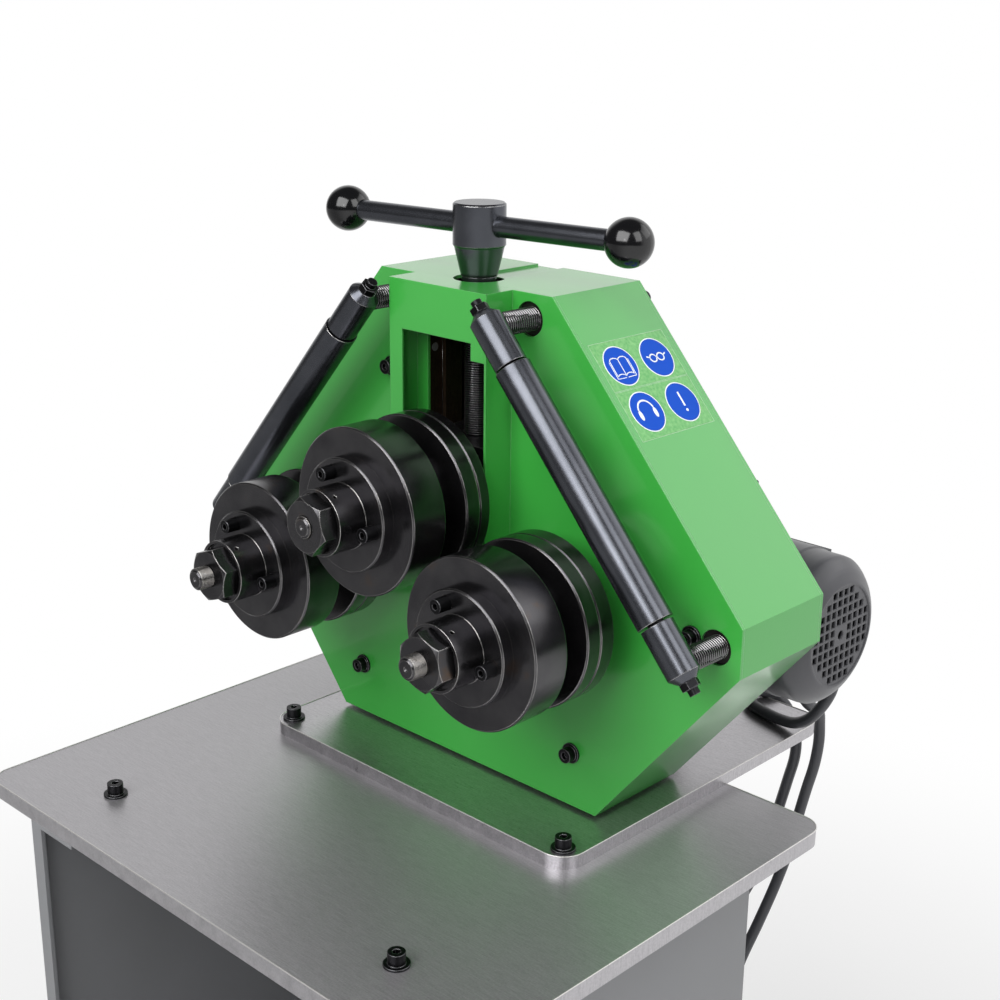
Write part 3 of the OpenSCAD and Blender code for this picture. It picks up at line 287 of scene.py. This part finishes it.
# plate behind the slot, nearly black
nearlyBlackPlate = groundSteel("nearlyBlackSteelPlate", dict(
    plateSettings, colour="#262524", colourTwo="#343230", roughness=0.42))
# oily strips that the carriage slides on, brown with streaks up and down
wayBronze = groundSteel("oiledBronzeWay", dict(
    plateSettings, colour="#3E3329", colourTwo="#5A4A3A", stretch=(8, 8, 1), roughness=0.38, metallic=0.9))
# ground rings of the ball bearings, bright and smooth
bearingSteel = groundSteel("bearingSteel", dict(
    plateSettings, colour="#B5B5B7", colourTwo="#C6C6C8", roughness=0.22))
# thin bright wire along a plate's chamfered edge: a painted highlight
edgeHighlightSteel = groundSteel("paintedPlateEdgeHighlight", dict(
    plateSettings, colour="#CFCDCB", colourTwo="#DCDAD8", roughness=0.3, metallic=0.7))
# nuts and shaft ends, satin black
blackSteel = blackOxide("blackOxideSteel", dict(oxideSettings, roughness=0.28))
# hub, bar and guides: smoother, bluish black with long soft highlights
handleSteel = blackOxide("blackOxideHandleSteel", dict(
    oxideSettings, colour="#515359", colourTwo="#5C5E64", stain="#5F6066", roughness=0.26, relief=0.006,
    spread=0.01))
# bottom of a thread, where oil and dirt stay and a shade is painted in the groove: black and dull
rootDirtAndShadeSteel = blackOxide("threadRootDirtAndShade", dict(
    oxideSettings, colour="#111112", colourTwo="#19191A", stain="#221F1D", edgeColour="#2A2A2A",
    edgeRadius=0.0002, edgeGain=1, roughness=0.45))
# top of a thread, rubbed bare and with a painted highlight: fine bright lines
crestWearAndHighlightSteel = blackOxide("threadCrestWearAndHighlight", dict(
    oxideSettings, colour="#6C6B6D", colourTwo="#7B7A7B", stain="#857C74", edgeColour="#9A9896",
    edgeRadius=0.0002, edgeGain=1, roughness=0.24))
# thread on a shaft's end, worn by its nut: brownish grey
endSteel = blackOxide("wornThreadEndSteel", dict(
    oxideSettings, colour="#4C4945", colourTwo="#645F5A", stain="#857D73", edgeColour="#B4B0AA",
    roughness=0.3))
# bought screws: deep black, a little duller than the turned parts
screwSteel = blackOxide("blackOxideScrewSteel", dict(
    oxideSettings, colour="#1E1E20", colourTwo="#28282A", stain="#303033", edgeColour="#77777A",
    roughness=0.38))
# ball knobs, polished in the mould: black with small sharp highlights
knobPlastic = mouldedPlastic("polishedPhenolic", dict(
    plasticSettings, colour="#08080A", colourTwo="#0B0B0D", grain=0.004, relief=0.01, roughness=0.14,
    ior=1.55))
# fan cover with a fine mould grain and well rounded edges
coverPlastic = mouldedPlastic("grainedMotorCover", dict(
    plasticSettings, colour="#454549", colourTwo="#4B4B4F", grain=0.0012, relief=0.25, roughness=0.34,
    edgeRadius=0.0028))
# painted castings of the motor and the gearbox, satin black
motorPaint = powderCoat("blackPaintedMotorCasting", dict(
    greySettings, colour="#2C2C2F", colourTwo="#303033", roughness=0.4))
# terminal box and control box, matt grey
boxPlastic = mouldedPlastic("greyBoxPlastic", plasticSettings)
# extruded rubber of the leads, dark with a soft line of light
leadRubber = mouldedPlastic("leadRubber", dict(
    plasticSettings, colour="#3A3B3F", colourTwo="#404145", grain=0.0007, relief=0.15, roughness=0.42))
# printed vinyl of the signs: flat white, and a blue that hardly shines
stickerWhite = mouldedPlastic("whiteVinyl", dict(
    plasticSettings, colour="#E9EEF2", colourTwo="#EEF2F5", relief=0.02, roughness=0.3, ior=1.45))
stickerBlue = mouldedPlastic("bluePrintedVinyl", dict(
    plasticSettings, colour="#0B49B8", colourTwo="#0E4DBE", relief=0.02, ior=1.45, specular=0.15))
print("materials made")


# axes of the three rollers, x and z in casing millimetres
rollerPlaces = {"upper": (0, 263.0), "right": (132, 186.5), "left": (-132, 186.5)}
finishes = {
    "pedestal": greyPaint, "pedestal_back": greyPaint, "pedestal_shelf": greyPaint,
    "table_plate": groundPlate, "base_plate": brushedPlate,
    "plate_bolts": screwSteel, "casing_bolts": screwSteel,
    "front_cover": greenPaint, "side_band": greenPaint, "rear_cover": greenPaint,
    "front_carrier": nearlyBlackPlate, "rear_carrier": machinedSteel, "tie_bars": machinedSteel,
    "slide_ways": wayBronze, "nut_bridge": machinedSteel, "frame_bearings": bearingSteel,
    "carriage": blackSteel, "carriage_bearings": bearingSteel, "spindle": handleSteel,
    "handle_hub": handleSteel, "handle_bar": handleSteel, "handle_knobs": knobPlastic,
    "drive_pinion": machinedSteel, "right_gear": machinedSteel, "left_gear": machinedSteel,
    "gearbox": motorPaint, "motor_body": motorPaint, "fan_cover": coverPlastic,
    "motor_fan": motorPaint, "terminal_box": boxPlastic, "control_box": boxPlastic,
    "motor_lead": leadRubber, "supply_lead": leadRubber}
for side in ("right", "left"):
    finishes[side + "_guide_yoke"] = handleSteel
    finishes[side + "_guide_axle"] = screwSteel
    finishes[side + "_guide_sleeve"] = handleSteel
for side, (x, z) in rollerPlaces.items():
    turned = blackOxide(side + "RollerBlackOxide", oxideSettings, mm(x, 0, z))
    for part in ("shaft", "front_disc", "core", "rear_discs", "flange"):
        finishes[side + "_" + part] = turned
    finishes[side + "_nut"] = blackSteel
    finishes[side + "_screws"] = screwSteel
for name, thing in nodes.items():
    thing.data.materials.clear()
    thing.data.materials.append(finishes[name])
print("node finishes set")

# shared mesh makers


def addPiece(name, mesh, material, body):
    thing = bpy.data.objects.new(name, mesh)
    scene.collection.objects.link(thing)
    thing.data.materials.append(material)
    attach(thing, body)
    return thing


def framed(start, along):
    # right and up vectors square to a direction
    w = Vector(along).normalized()
    u = Vector((0, 0, 1)).cross(w)
    if u.length < 1e-6:
        u = Vector((1, 0, 0)).cross(w)
    u.normalize()
    return Vector(start), u, w.cross(u), w


# shares of a pitch: half the flat crest, half the way to the root, and half of the bright band, rubbed and
# painted with a highlight
threadShape = {"rowsPerPitch": 6, "around": 40, "crestHalf": 0.125, "rootHalf": 0.375, "brightHalf": 0.26}


def threadMesh(name, start, along, length, s, taper=0.0):
    # one solid screw: a grid over turn angle and length whose radius follows the thread's profile
    origin, u, v, w = framed(start, along)
    rootR, crestR, pitch = s["rootR"], s["crestR"], s["pitch"]
    around = threadShape["around"]
    flank = threadShape["rootHalf"] - threadShape["crestHalf"]
    rows = max(2, int(length / pitch * threadShape["rowsPerPitch"]))
    mesh = bpy.data.meshes.new(name)
    bm = bmesh.new()
    grid = []
    for i in range(rows + 1):
        height = length * i / rows
        ring = []
        for k in range(around):
            turn = k / around
            phase = (height / pitch - turn) % 1.0
            wave = min(1.0, max(0.0, (threadShape["rootHalf"] - abs(phase - 0.5)) / flank))
            r = rootR + (crestR - rootR) * wave
            if taper:
                r = min(r, crestR - max(0.0, taper - height) - max(0.0, height - length + taper))
            a = 2 * math.pi * turn
            ring.append(bm.verts.new(origin + w * height + (u * math.cos(a) + v * math.sin(a)) * r))
        grid.append(ring)
    for i in range(rows):
        for k in range(around):
            j = (k + 1) % around
            face = bm.faces.new((grid[i][k], grid[i][j], grid[i + 1][j], grid[i + 1][k]))
            # crest faces get the second material, worn bright with a painted highlight; the rest the first,
            # dark with dirt and painted shade
            middle = (length * (i + 0.5) / rows / pitch - (k + 0.5) / around) % 1.0
            face.material_index = 1 if abs(middle - 0.5) < threadShape["brightHalf"] else 0
    bm.faces.new(list(reversed(grid[0])))
    bm.faces.new(grid[-1])
    bmesh.ops.recalc_face_normals(bm, faces=bm.faces)
    bm.to_mesh(mesh)
    bm.free()
    return mesh


def turnedMesh(name, start, along, profile, around=64):
    # a revolve of (radius, height) points in millimetres
    origin, u, v, w = framed(start, along)
    mesh = bpy.data.meshes.new(name)
    bm = bmesh.new()
    rings = []
    for r, height in profile:
        middle = origin + w * height * 0.001
        if r <= 0:
            rings.append([bm.verts.new(middle)])
        else:
            rings.append([bm.verts.new(middle + (u * math.cos(a) + v * math.sin(a)) * r * 0.001)
                          for a in (2 * math.pi * k / around for k in range(around))])
    for low, high in zip(rings, rings[1:]):
        for k in range(around):
            j = (k + 1) % around
            if len(low) == 1:
                bm.faces.new((low[0], high[k], high[j]))
            elif len(high) == 1:
                bm.faces.new((low[k], low[j], high[0]))
            else:
                bm.faces.new((low[k], low[j], high[j], high[k]))
    bmesh.ops.recalc_face_normals(bm, faces=bm.faces)
    bm.to_mesh(mesh)
    bm.free()
    return mesh


def tubeAlong(name, points, radius, around, closed=False):
    # a round wire or lead swept along points with a steady frame
    pts = [Vector(p) for p in points]
    count = len(pts)
    mesh = bpy.data.meshes.new(name)
    bm = bmesh.new()
    rings = []
    normal = None
    for i in range(count):
        if closed:
            tangent = (pts[(i + 1) % count] - pts[i - 1]).normalized()
        else:
            tangent = (pts[min(i + 1, count - 1)] - pts[max(i - 1, 0)]).normalized()
        if normal is None:
            normal = tangent.orthogonal().normalized()
        normal = (normal - tangent * normal.dot(tangent)).normalized()
        side = tangent.cross(normal)
        rings.append([bm.verts.new(pts[i] + (normal * math.cos(a) + side * math.sin(a)) * radius)
                      for a in (2 * math.pi * k / around for k in range(around))])
    last = count if closed else count - 1
    for i in range(last):
        low, high = rings[i], rings[(i + 1) % count]
        for k in range(around):
            j = (k + 1) % around
            bm.faces.new((low[k], low[j], high[j], high[k])).smooth = True
    if not closed:
        bm.faces.new(list(reversed(rings[0])))
        bm.faces.new(rings[-1])
    bmesh.ops.recalc_face_normals(bm, faces=bm.faces)
    bm.to_mesh(mesh)
    bm.free()
    return mesh


def smoothRoute(points, steps=6):
    # Catmull-Rom through the route's points
    pts = [Vector(p) for p in points]
    full = [pts[0] * 2 - pts[1]] + pts + [pts[-1] * 2 - pts[-2]]
    out = []
    for i in range(1, len(full) - 2):
        a, b, c, d = full[i - 1:i + 3]
        for k in range(steps):
            t = k / steps
            out.append(0.5 * (2 * b + (c - a) * t + (2 * a - 5 * b + 4 * c - d) * t * t
                              + (3 * b - a - 3 * c + d) * t ** 3))
    out.append(pts[-1])
    return out


# feed screw: thread, collar under the hub and foot in the carriage, in place of the plain CAD spindle

feedScrew = {
    "rootR": 0.0113, "crestR": 0.0125, "pitch": 0.002, "y": 19.6, "low": 303.3, "high": 433.5,
    "collarR": 14.75, "collarTop": 440.4, "chamfer": 0.6, "footR": 9.0, "footLow": 297.0}


def addFeedScrew(s):
    upwards = (0, 0, 1)
    length = (s["high"] - s["low"]) * 0.001
    thread = threadMesh("feedScrewThread", mm(0, s["y"], s["low"]), upwards, length, s)
    piece = addPiece("feedScrewThread", thread, rootDirtAndShadeSteel, "screw")
    piece.data.materials.append(crestWearAndHighlightSteel)
    zero = mm(0, s["y"], 0)
    collar = turnedMesh("feedScrewCollar", zero, upwards, [
        (0, s["high"]), (s["collarR"] - s["chamfer"], s["high"]), (s["collarR"], s["high"] + s["chamfer"]),
        (s["collarR"], s["collarTop"]), (0, s["collarTop"])])
    addPiece("feedScrewCollar", collar, handleSteel, "screw")
    foot = turnedMesh("feedScrewFoot", zero, upwards, [
        (0, s["footLow"]), (s["footR"], s["footLow"]), (s["footR"], s["low"]), (0, s["low"])])
    addPiece("feedScrewFoot", foot, blackSteel, "screw")
    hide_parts("spindle")


addFeedScrew(feedScrew)

# guide rods: metric thread on the stretch in front of the casing

guideRods = {
    "places": [(76.5, 416.8), (276.01, 190.49)], "from": -36.5, "to": 2.4,
    "rootR": 0.0089, "crestR": 0.00994, "pitch": 0.0025}


def addGuideRods(s):
    length = (s["to"] - s["from"]) * 0.001
    for side, sign in (("right", 1), ("left", -1)):
        for place, (x, z) in zip(("Upper", "Lower"), s["places"]):
            name = side + place + "RodThread"
            thread = threadMesh(name, mm(sign * x, s["from"], z), (0, 1, 0), length, s)
            rod = addPiece(name, thread, rootDirtAndShadeSteel, side + "_guide")
            rod.data.materials.append(crestWearAndHighlightSteel)


addGuideRods(guideRods)

# shaft tips: fine thread on the end of each roller shaft

shaftTips = {
    "tips": {"upper": -179.0, "right": -190.5, "left": -190.5}, "nutFront": -176.3, "bare": 1.2, "gap": 0.1,
    "rootR": 0.0092, "crestR": 0.0098, "pitch": 0.0015, "taper": 0.0008}


def addShaftTips(s):
    for side, tip in s["tips"].items():
        x, z = rollerPlaces[side]
        name = side + "TipThread"
        length = (s["nutFront"] - tip - s["bare"] - s["gap"]) * 0.001
        thread = threadMesh(name, mm(x, tip + s["bare"], z), (0, 1, 0), length, s, s["taper"])
        end = addPiece(name, thread, blackSteel, side + "_roller")
        end.data.materials.append(endSteel)


addShaftTips(shaftTips)
print("threads cut")

# the two electric leads, smooth along the same routes as their CAD tubes

leads = {
    "motor_lead": [
        (212, 260, 128), (223, 260, 128), (231, 259, 114), (231, 258, 92), (230, 257, 72),
        (226, 256, 52), (216, 257, 33), (203, 259, 17), (187, 261, 7), (168, 264, 3.5),
        (148, 268, 3), (128, 275, 3), (116, 286, 3.5), (116, 300, 4), (126, 314, 0),
        (140, 320, -12), (152, 320, -36), (154, 319, -60), (148, 318, -90), (141, 316, -124),
        (136, 310, -158), (132, 294, -194), (126, 268, -228), (122, 240, -258), (120, 218, -288),
        (120, 206, -314), (120, 206, -334)],
    "supply_lead": [
        (176, 262, 92), (176, 262, 80), (177, 266, 60), (179, 274, 38), (182, 288, 18),
        (182, 302, 7), (183, 310, 0), (181, 316, -14), (180, 319, -36), (177, 319, -62), (171, 318, -90),
        (165, 317, -120), (162, 309, -156), (160, 291, -192), (160, 265, -224), (160, 238, -254),
        (160, 217, -286), (160, 206, -314), (160, 206, -334)]}
leadShape = {"radius": 0.0055, "around": 20}


def addLeads(routes, s):
    for node, route in routes.items():
        name = node.replace("_lead", "Lead")
        mesh = tubeAlong(name, smoothRoute([mm(*p) for p in route]), s["radius"], s["around"])
        piece = addPiece(name, mesh, leadRubber, "frame")
        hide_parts(node)


addLeads(leads, leadShape)
print("leads laid")

# painted highlights along the chamfered edges of the two ground plates, as thin bright wires

plateEdges = {
    "tableEdgeHighlight": {"halfW": 295, "y0": -313, "y1": 150, "z": -15, "r": 20},
    "baseEdgeHighlight": {"halfW": 190, "y0": -71, "y1": 308, "z": -3, "r": 22},
    "wire": 0.0006, "wireAround": 8, "cornerSteps": 8}


def roundedOutline(s, steps):
    points = []
    corners = [(s["halfW"] - s["r"], s["y1"] - s["r"], 0), (-s["halfW"] + s["r"], s["y1"] - s["r"], 90),
               (-s["halfW"] + s["r"], s["y0"] + s["r"], 180), (s["halfW"] - s["r"], s["y0"] + s["r"], 270)]
    for cx, cy, start in corners:
        for k in range(steps + 1):
            a = math.radians(start + k * 90 / steps)
            points.append(mm(cx + s["r"] * math.cos(a), cy + s["r"] * math.sin(a), s["z"]))
    return points


def addPlateEdges(s):
    for name in ("tableEdgeHighlight", "baseEdgeHighlight"):
        outline = roundedOutline(s[name], s["cornerSteps"])
        mesh = tubeAlong(name, outline, s["wire"], s["wireAround"], closed=True)
        addPiece(name, mesh, edgeHighlightSteel, "frame")


addPlateEdges(plateEdges)

# four round blue discs with plain marks on the slanted side, in millimetres: edge is the side's top
# corner, rows run down the slope from it, columns run back from the front plane

signs = {
    "edge": (100.5, 438.0), "slope": (199.5, -226.3), "rows": (70.8, 113.7), "columns": (31.5, 77.0),
    "blueR": 17.4, "rimR": 18.4, "rimT": 0.15, "blueT": 0.22, "markT": 0.3}


def onSide(s, column, row, right, up, lift):
    # a place on the slanted side: right is +Y, up is against the slope, lift is outwards
    length = math.hypot(*s["slope"])
    dx, dz = s["slope"][0] / length, s["slope"][1] / length
    down = s["rows"][row] - up
    x = s["edge"][0] + dx * down - dz * lift
    z = s["edge"][1] + dz * down + dx * lift
    return mm(x, s["columns"][column] + right, z)


def flatShape(name, s, column, row, outlines, low, high):
    # flat plates with straight walls, one for each outline
    mesh = bpy.data.meshes.new(name)
    bm = bmesh.new()
    for outline in outlines:
        bottom = [bm.verts.new(onSide(s, column, row, x, y, low)) for x, y in outline]
        top = [bm.verts.new(onSide(s, column, row, x, y, high)) for x, y in outline]
        bm.faces.new(list(reversed(bottom)))
        bm.faces.new(top)
        for k in range(len(outline)):
            j = (k + 1) % len(outline)
            bm.faces.new((bottom[k], bottom[j], top[j], top[k]))
    bmesh.ops.recalc_face_normals(bm, faces=bm.faces)
    bm.to_mesh(mesh)
    bm.free()
    return mesh


def discOutline(r, count=64, cx=0.0, cy=0.0):
    return [(cx + r * math.cos(2 * math.pi * k / count), cy + r * math.sin(2 * math.pi * k / count))
            for k in range(count)]


def strip(points, width):
    # quads along a line of points, as separate outlines
    out = []
    for (x0, y0), (x1, y1) in zip(points, points[1:]):
        length = math.hypot(x1 - x0, y1 - y0)
        nx, ny = -(y1 - y0) / length * width / 2, (x1 - x0) / length * width / 2
        out.append([(x0 + nx, y0 + ny), (x0 - nx, y0 - ny), (x1 - nx, y1 - ny), (x1 + nx, y1 + ny)])
    return out


def arcPoints(cx, cy, rx, ry, a0, a1, count):
    return [(cx + rx * math.cos(math.radians(a0 + (a1 - a0) * k / count)),
             cy + ry * math.sin(math.radians(a0 + (a1 - a0) * k / count))) for k in range(count + 1)]


# each mark is a list of outlines in millimetres about the middle of its disc

def bookMark():
    line = 0.9
    left = [(-10, 6.2), (-8, 7.6), (-4.5, 8), (-1.5, 7.2), (0, 5.8)]
    right = [(-x, y) for x, y in reversed(left)]
    lower = [(x, y - 15) for x, y in left] + [(x, y - 15) for x, y in right[1:]]
    return (strip(left + right[1:], line) + strip([(-10, 6.2), (-10, -8.8)], line)
            + strip([(10, 6.2), (10, -8.8)], line) + strip([(0, 5.8), (0, -9.2)], line)
            + strip(lower, line) + strip([(-11.4, 5), (-11.4, -10.6), (-1, -10.8)], line * 0.8)
            + strip([(11.4, 5), (11.4, -10.6), (1, -10.8)], line * 0.8))


def gogglesMark():
    line = 1.3
    out = []
    for cx in (-4.6, 4.6):
        out += strip(arcPoints(cx, 0, 3.9, 3.4, 0, 360, 28), line)
    out += strip([(-0.9, 0.9), (0.9, 0.9)], line)
    out += strip([(-8.4, 0.9), (-12, 2.4)], line) + strip([(8.4, 0.9), (12, 2.4)], line)
    return out


def earMark():
    out = strip(arcPoints(0, 0.5, 9.2, 9.6, 12, 168, 26), 1.6)
    for sx in (-1, 1):
        out.append([(sx * (8.9 + 2.1 * math.cos(a)), -2.2 + 4.6 * math.sin(a))
                    for a in (2 * math.pi * k / 24 for k in range(24))])
    return out


def alertMark():
    return [[(-1.0, 9.4), (-1.0, -3.8), (1.0, -3.8), (1.0, 9.4)], discOutline(1.4, 24, 0, -7.6)]


def addSigns(s):
    marks = [[bookMark(), earMark()], [gogglesMark(), alertMark()]]
    for column in (0, 1):
        for row in (0, 1):
            tag = "sign%d%d" % (column, row)
            rim = flatShape(tag + "Rim", s, column, row, [discOutline(s["rimR"])], 0.0, s["rimT"])
            addPiece(tag + "Rim", rim, stickerWhite, "frame")
            blue = flatShape(tag + "Blue", s, column, row, [discOutline(s["blueR"])], 0.0, s["blueT"])
            addPiece(tag + "Blue", blue, stickerBlue, "frame")
            mark = flatShape(tag + "Mark", s, column, row, marks[column][row], 0.0, s["markT"])
            addPiece(tag + "Mark", mark, stickerWhite, "frame")


addSigns(signs)

# clear film that carries the signs: two sheets, mottled by the air under them, a little paler than the
# paint, each with a thin pale edge

signFilm = {
    "from": 8.0, "to": 100.5, "rows": [(47.5, 91.5), (92.3, 137.0)],
    "thick": 0.06, "hem": 0.5, "hemThick": 0.1}
filmVinyl = powderCoat("clearFilmOverPaint", dict(
    greenSettings, colour="#409D43", colourTwo="#76B76C", cloudSize=0.0028, roughness=0.42, coat=0.5,
    coatRoughness=0.3, edgeShare=0.1, peel=0.5))
filmHem = powderCoat("clearFilmEdge", dict(
    greenSettings, colour="#83C081", colourTwo="#A2D19E", cloudSize=0.006, roughness=0.4, edgeShare=0.1))


def addSignFilm(s):
    for number, (top, bottom) in enumerate(s["rows"]):
        middle = (s["from"] + s["to"]) / 2 - signs["columns"][0]
        across = (s["to"] - s["from"]) / 2
        centre = signs["rows"][0] - (top + bottom) / 2
        half = (bottom - top) / 2
        sheet = [(middle - across, centre - half), (middle + across, centre - half),
                 (middle + across, centre + half), (middle - across, centre + half)]
        around = strip(sheet + sheet[:1], s["hem"])
        mesh = flatShape("signFilm%d" % number, signs, 0, 0, [sheet], 0.0, s["thick"])
        addPiece("signFilm%d" % number, mesh, filmVinyl, "frame")
        hem = flatShape("signFilmHem%d" % number, signs, 0, 0, around, 0.0, s["hemThick"])
        addPiece("signFilmHem%d" % number, hem, filmHem, "frame")


addSignFilm(signFilm)
print("signs set")

# button head screws of the rear cover, the screw of the hardened strip in the slot, and a painted highlight
# along the strip's edge

smallScrews = {
    "rear": {
        "rearScrewUpper": {"x": 102.5, "z": 422.9, "r": 6.5, "tall": 9.0},
        "rearScrewLower": {"x": 226.5, "z": 287.6, "r": 2.75, "tall": 6.2}},
    "rearY": 109.5,
    "wall": 0.45, "socketR": 0.5, "socketTop": 0.99, "socketFloor": 0.55,  # shares of r and tall
    "strip": {"x": -42.0, "y": 8.4, "z": 374.0, "r": 3.8, "proud": 0.22},
    "stripEdgeHighlight": {"x": -42.0, "y": 17.2, "z0": 302.0, "z1": 397.0, "r": 0.35}}


def addSmallScrews(s):
    for name, head in s["rear"].items():
        r, tall, dome = head["r"], head["tall"], 1 - s["wall"]
        profile = [(0, 0), (r, 0), (r, tall * s["wall"])]
        for a in (math.radians(degrees) for degrees in (20, 40, 60)):
            profile.append((r * math.cos(a), tall * (s["wall"] + dome * math.sin(a))))
        profile += [(r * s["socketR"], tall * s["socketTop"]), (r * s["socketR"], tall * s["socketFloor"]),
                    (0, tall * s["socketFloor"])]
        mesh = turnedMesh(name, mm(head["x"], s["rearY"], head["z"]), (0, 1, 0), profile, 40)
        addPiece(name, mesh, screwSteel, "frame")
    t = s["strip"]
    r, proud = t["r"], t["proud"]
    head = turnedMesh("stripScrew", mm(t["x"], t["y"], t["z"]), (1, 0, 0), [
        (0, proud * 0.3), (r * 0.4, proud * 0.3), (r * 0.55, proud), (r * 0.85, proud), (r, 0)], 32)
    addPiece("stripScrew", head, groundPlate, "frame")
    # a thin bright wire along the strip's edge: a painted highlight
    e = s["stripEdgeHighlight"]
    line = [mm(e["x"], e["y"], z) for z in (e["z0"], e["z1"])]
    edge = tubeAlong("stripEdgeHighlight", line, e["r"] * 0.001, 8)
    addPiece("stripEdgeHighlight", edge, crestWearAndHighlightSteel, "frame")


addSmallScrews(smallScrews)
print("small screws set")

# floor, backdrop and light

# for reflections alone: darkSide and floorShine are the world's and the floor's light in front of the
# machine, from left to right, and brightSide is the light low behind it; the three pairs of limits are
# components of a direction; lamp powers in watts, places and sizes in metres
stageSettings = {
    "floorHalf": 14.0, "floorGrey": (0.86, 0.88), "shadowRadius": (0.9, 2.2), "shadowShare": 0.45,
    "worldLight": 0.42, "darkSide": (0.08, 0.1), "floorShine": (0.4, 1.0), "brightSide": 1.0,
    "behindLimits": (-0.1, 0.45), "lowLimits": (0.8, 0.5), "acrossLimits": (-0.6, 0.7),
    "lamps": {
        "frontBox": {"place": (0.25, -2.2, 2.95), "aim": (0, 0.05, 1.25), "size": (2.8, 2.2), "power": 104},
        "spotBox": {"place": (1.03, -2.58, 2.46), "aim": (0, 0, 1.3), "size": (0.3, 0.3), "power": 2.0},
        "sideBox": {"place": (2.7, -0.1, 3.0), "aim": (0.2, 0.1, 1.2), "size": (1.6, 2.2), "power": 36},
        "rightBox": {"place": (1.75, 2.6, 3.3), "aim": (0.1, 0.1, 1.2), "size": (2.8, 2.2), "power": 20}}}


def smoothRange(tree, source, limits, low=0.0, high=1.0):
    return addNode(tree, "ShaderNodeMapRange", {
        "interpolation_type": "SMOOTHSTEP", "From Min": limits[0], "From Max": limits[1],
        "To Min": low, "To Max": high}, {"Value": source}).outputs[0]


def bySide(tree, vector, s, front):
    # darker in front of the machine and above it, bright low behind it
    parts = addNode(tree, "ShaderNodeSeparateXYZ", None, {0: vector})
    behind = smoothRange(tree, parts.outputs["Y"], s["behindLimits"])
    low = smoothRange(tree, parts.outputs["Z"], s["lowLimits"])
    both = addNode(tree, "ShaderNodeMath", {"operation": "MULTIPLY"}, {0: behind, 1: low})
    across = smoothRange(tree, parts.outputs["X"], s["acrossLimits"], *s[front])
    return addNode(tree, "ShaderNodeMapRange", {"To Max": s["brightSide"]},
                   {"Value": both.outputs[0], "To Min": across}).outputs[0]


def addStage(s):
    half = s["floorHalf"]
    mesh = bpy.data.meshes.new("floor")
    corners = [(-half, -half, 0), (half, -half, 0), (half, half, 0), (-half, half, 0)]
    mesh.from_pydata(corners, [], [(0, 1, 2, 3)])
    floor = bpy.data.objects.new("floor", mesh)
    scene.collection.objects.link(floor)
    material, tree, place = newMaterial("paleStudioFloor")
    paper = addNode(tree, "ShaderNodeTexNoise", {"Scale": 3, "Detail": 2},
                    {"Vector": place.outputs["Object"]})
    dark, light = s["floorGrey"]
    colour = colourRamp(tree, paper.outputs["Fac"], [(0.3, grey(dark)), (0.7, grey(light))])
    matt = addNode(tree, "ShaderNodeBsdfDiffuse", None, {"Color": colour})
    # plain white further out, so that the floor has no horizon, and its shadow near the feet
    away = addNode(tree, "ShaderNodeVectorMath", {"operation": "LENGTH"}, {0: place.outputs["Object"]})
    fade = smoothRange(tree, away.outputs["Value"], s["shadowRadius"], s["shadowShare"])
    glow = addNode(tree, "ShaderNodeEmission", {"Color": grey(1), "Strength": 1.0})
    rays = addNode(tree, "ShaderNodeLightPath")
    share = addNode(tree, "ShaderNodeMath", {"operation": "MULTIPLY"}, {
        0: rays.outputs["Is Camera Ray"], 1: fade})
    seen = addNode(tree, "ShaderNodeMixShader", None, {
        0: share.outputs[0], 1: matt.outputs["BSDF"], 2: glow.outputs["Emission"]})
    # the direction from the machine to a place on the floor, for its reflection
    toward = addNode(tree, "ShaderNodeVectorMath", {"operation": "NORMALIZE"}, {0: place.outputs["Object"]})
    mirrorGlow = addNode(tree, "ShaderNodeEmission", {"Color": grey(1)}, {
        "Strength": bySide(tree, toward.outputs["Vector"], s, "floorShine")})
    both = addNode(tree, "ShaderNodeMixShader", None, {
        0: rays.outputs["Is Glossy Ray"], 1: seen.outputs[0], 2: mirrorGlow.outputs["Emission"]})
    addNode(tree, "ShaderNodeOutputMaterial", None, {"Surface": both.outputs[0]})
    floor.data.materials.append(material)

    world = bpy.data.worlds.new("studioWorld")
    scene.world = world
    world.use_nodes = True
    tree = world.node_tree
    tree.nodes.clear()
    rays = addNode(tree, "ShaderNodeLightPath")
    place = addNode(tree, "ShaderNodeTexCoord")
    plain = addNode(tree, "ShaderNodeBackground", {"Color": grey(1), "Strength": s["worldLight"]})
    glossy = addNode(tree, "ShaderNodeBackground", {"Color": grey(1)}, {
        "Strength": bySide(tree, place.outputs["Generated"], s, "darkSide")})
    white = addNode(tree, "ShaderNodeBackground", {"Color": grey(1), "Strength": 1.0})
    mixOne = addNode(tree, "ShaderNodeMixShader", None, {
        0: rays.outputs["Is Glossy Ray"], 1: plain.outputs[0], 2: glossy.outputs[0]})
    mixTwo = addNode(tree, "ShaderNodeMixShader", None, {
        0: rays.outputs["Is Camera Ray"], 1: mixOne.outputs[0], 2: white.outputs[0]})
    addNode(tree, "ShaderNodeOutputWorld", None, {"Surface": mixTwo.outputs[0]})

    for name, lamp in s["lamps"].items():
        data = bpy.data.lights.new(name, "AREA")
        data.shape = "RECTANGLE"
        data.size, data.size_y = lamp["size"]
        data.energy = lamp["power"]
        thing = bpy.data.objects.new(name, data)
        thing.location = lamp["place"]
        aim = Vector(lamp["aim"]) - Vector(lamp["place"])
        thing.rotation_euler = aim.to_track_quat("-Z", "Y").to_euler()
        thing.visible_camera = False
        scene.collection.objects.link(thing)


addStage(stageSettings)
scene.view_settings.view_transform = "Standard"
print("stage lit")
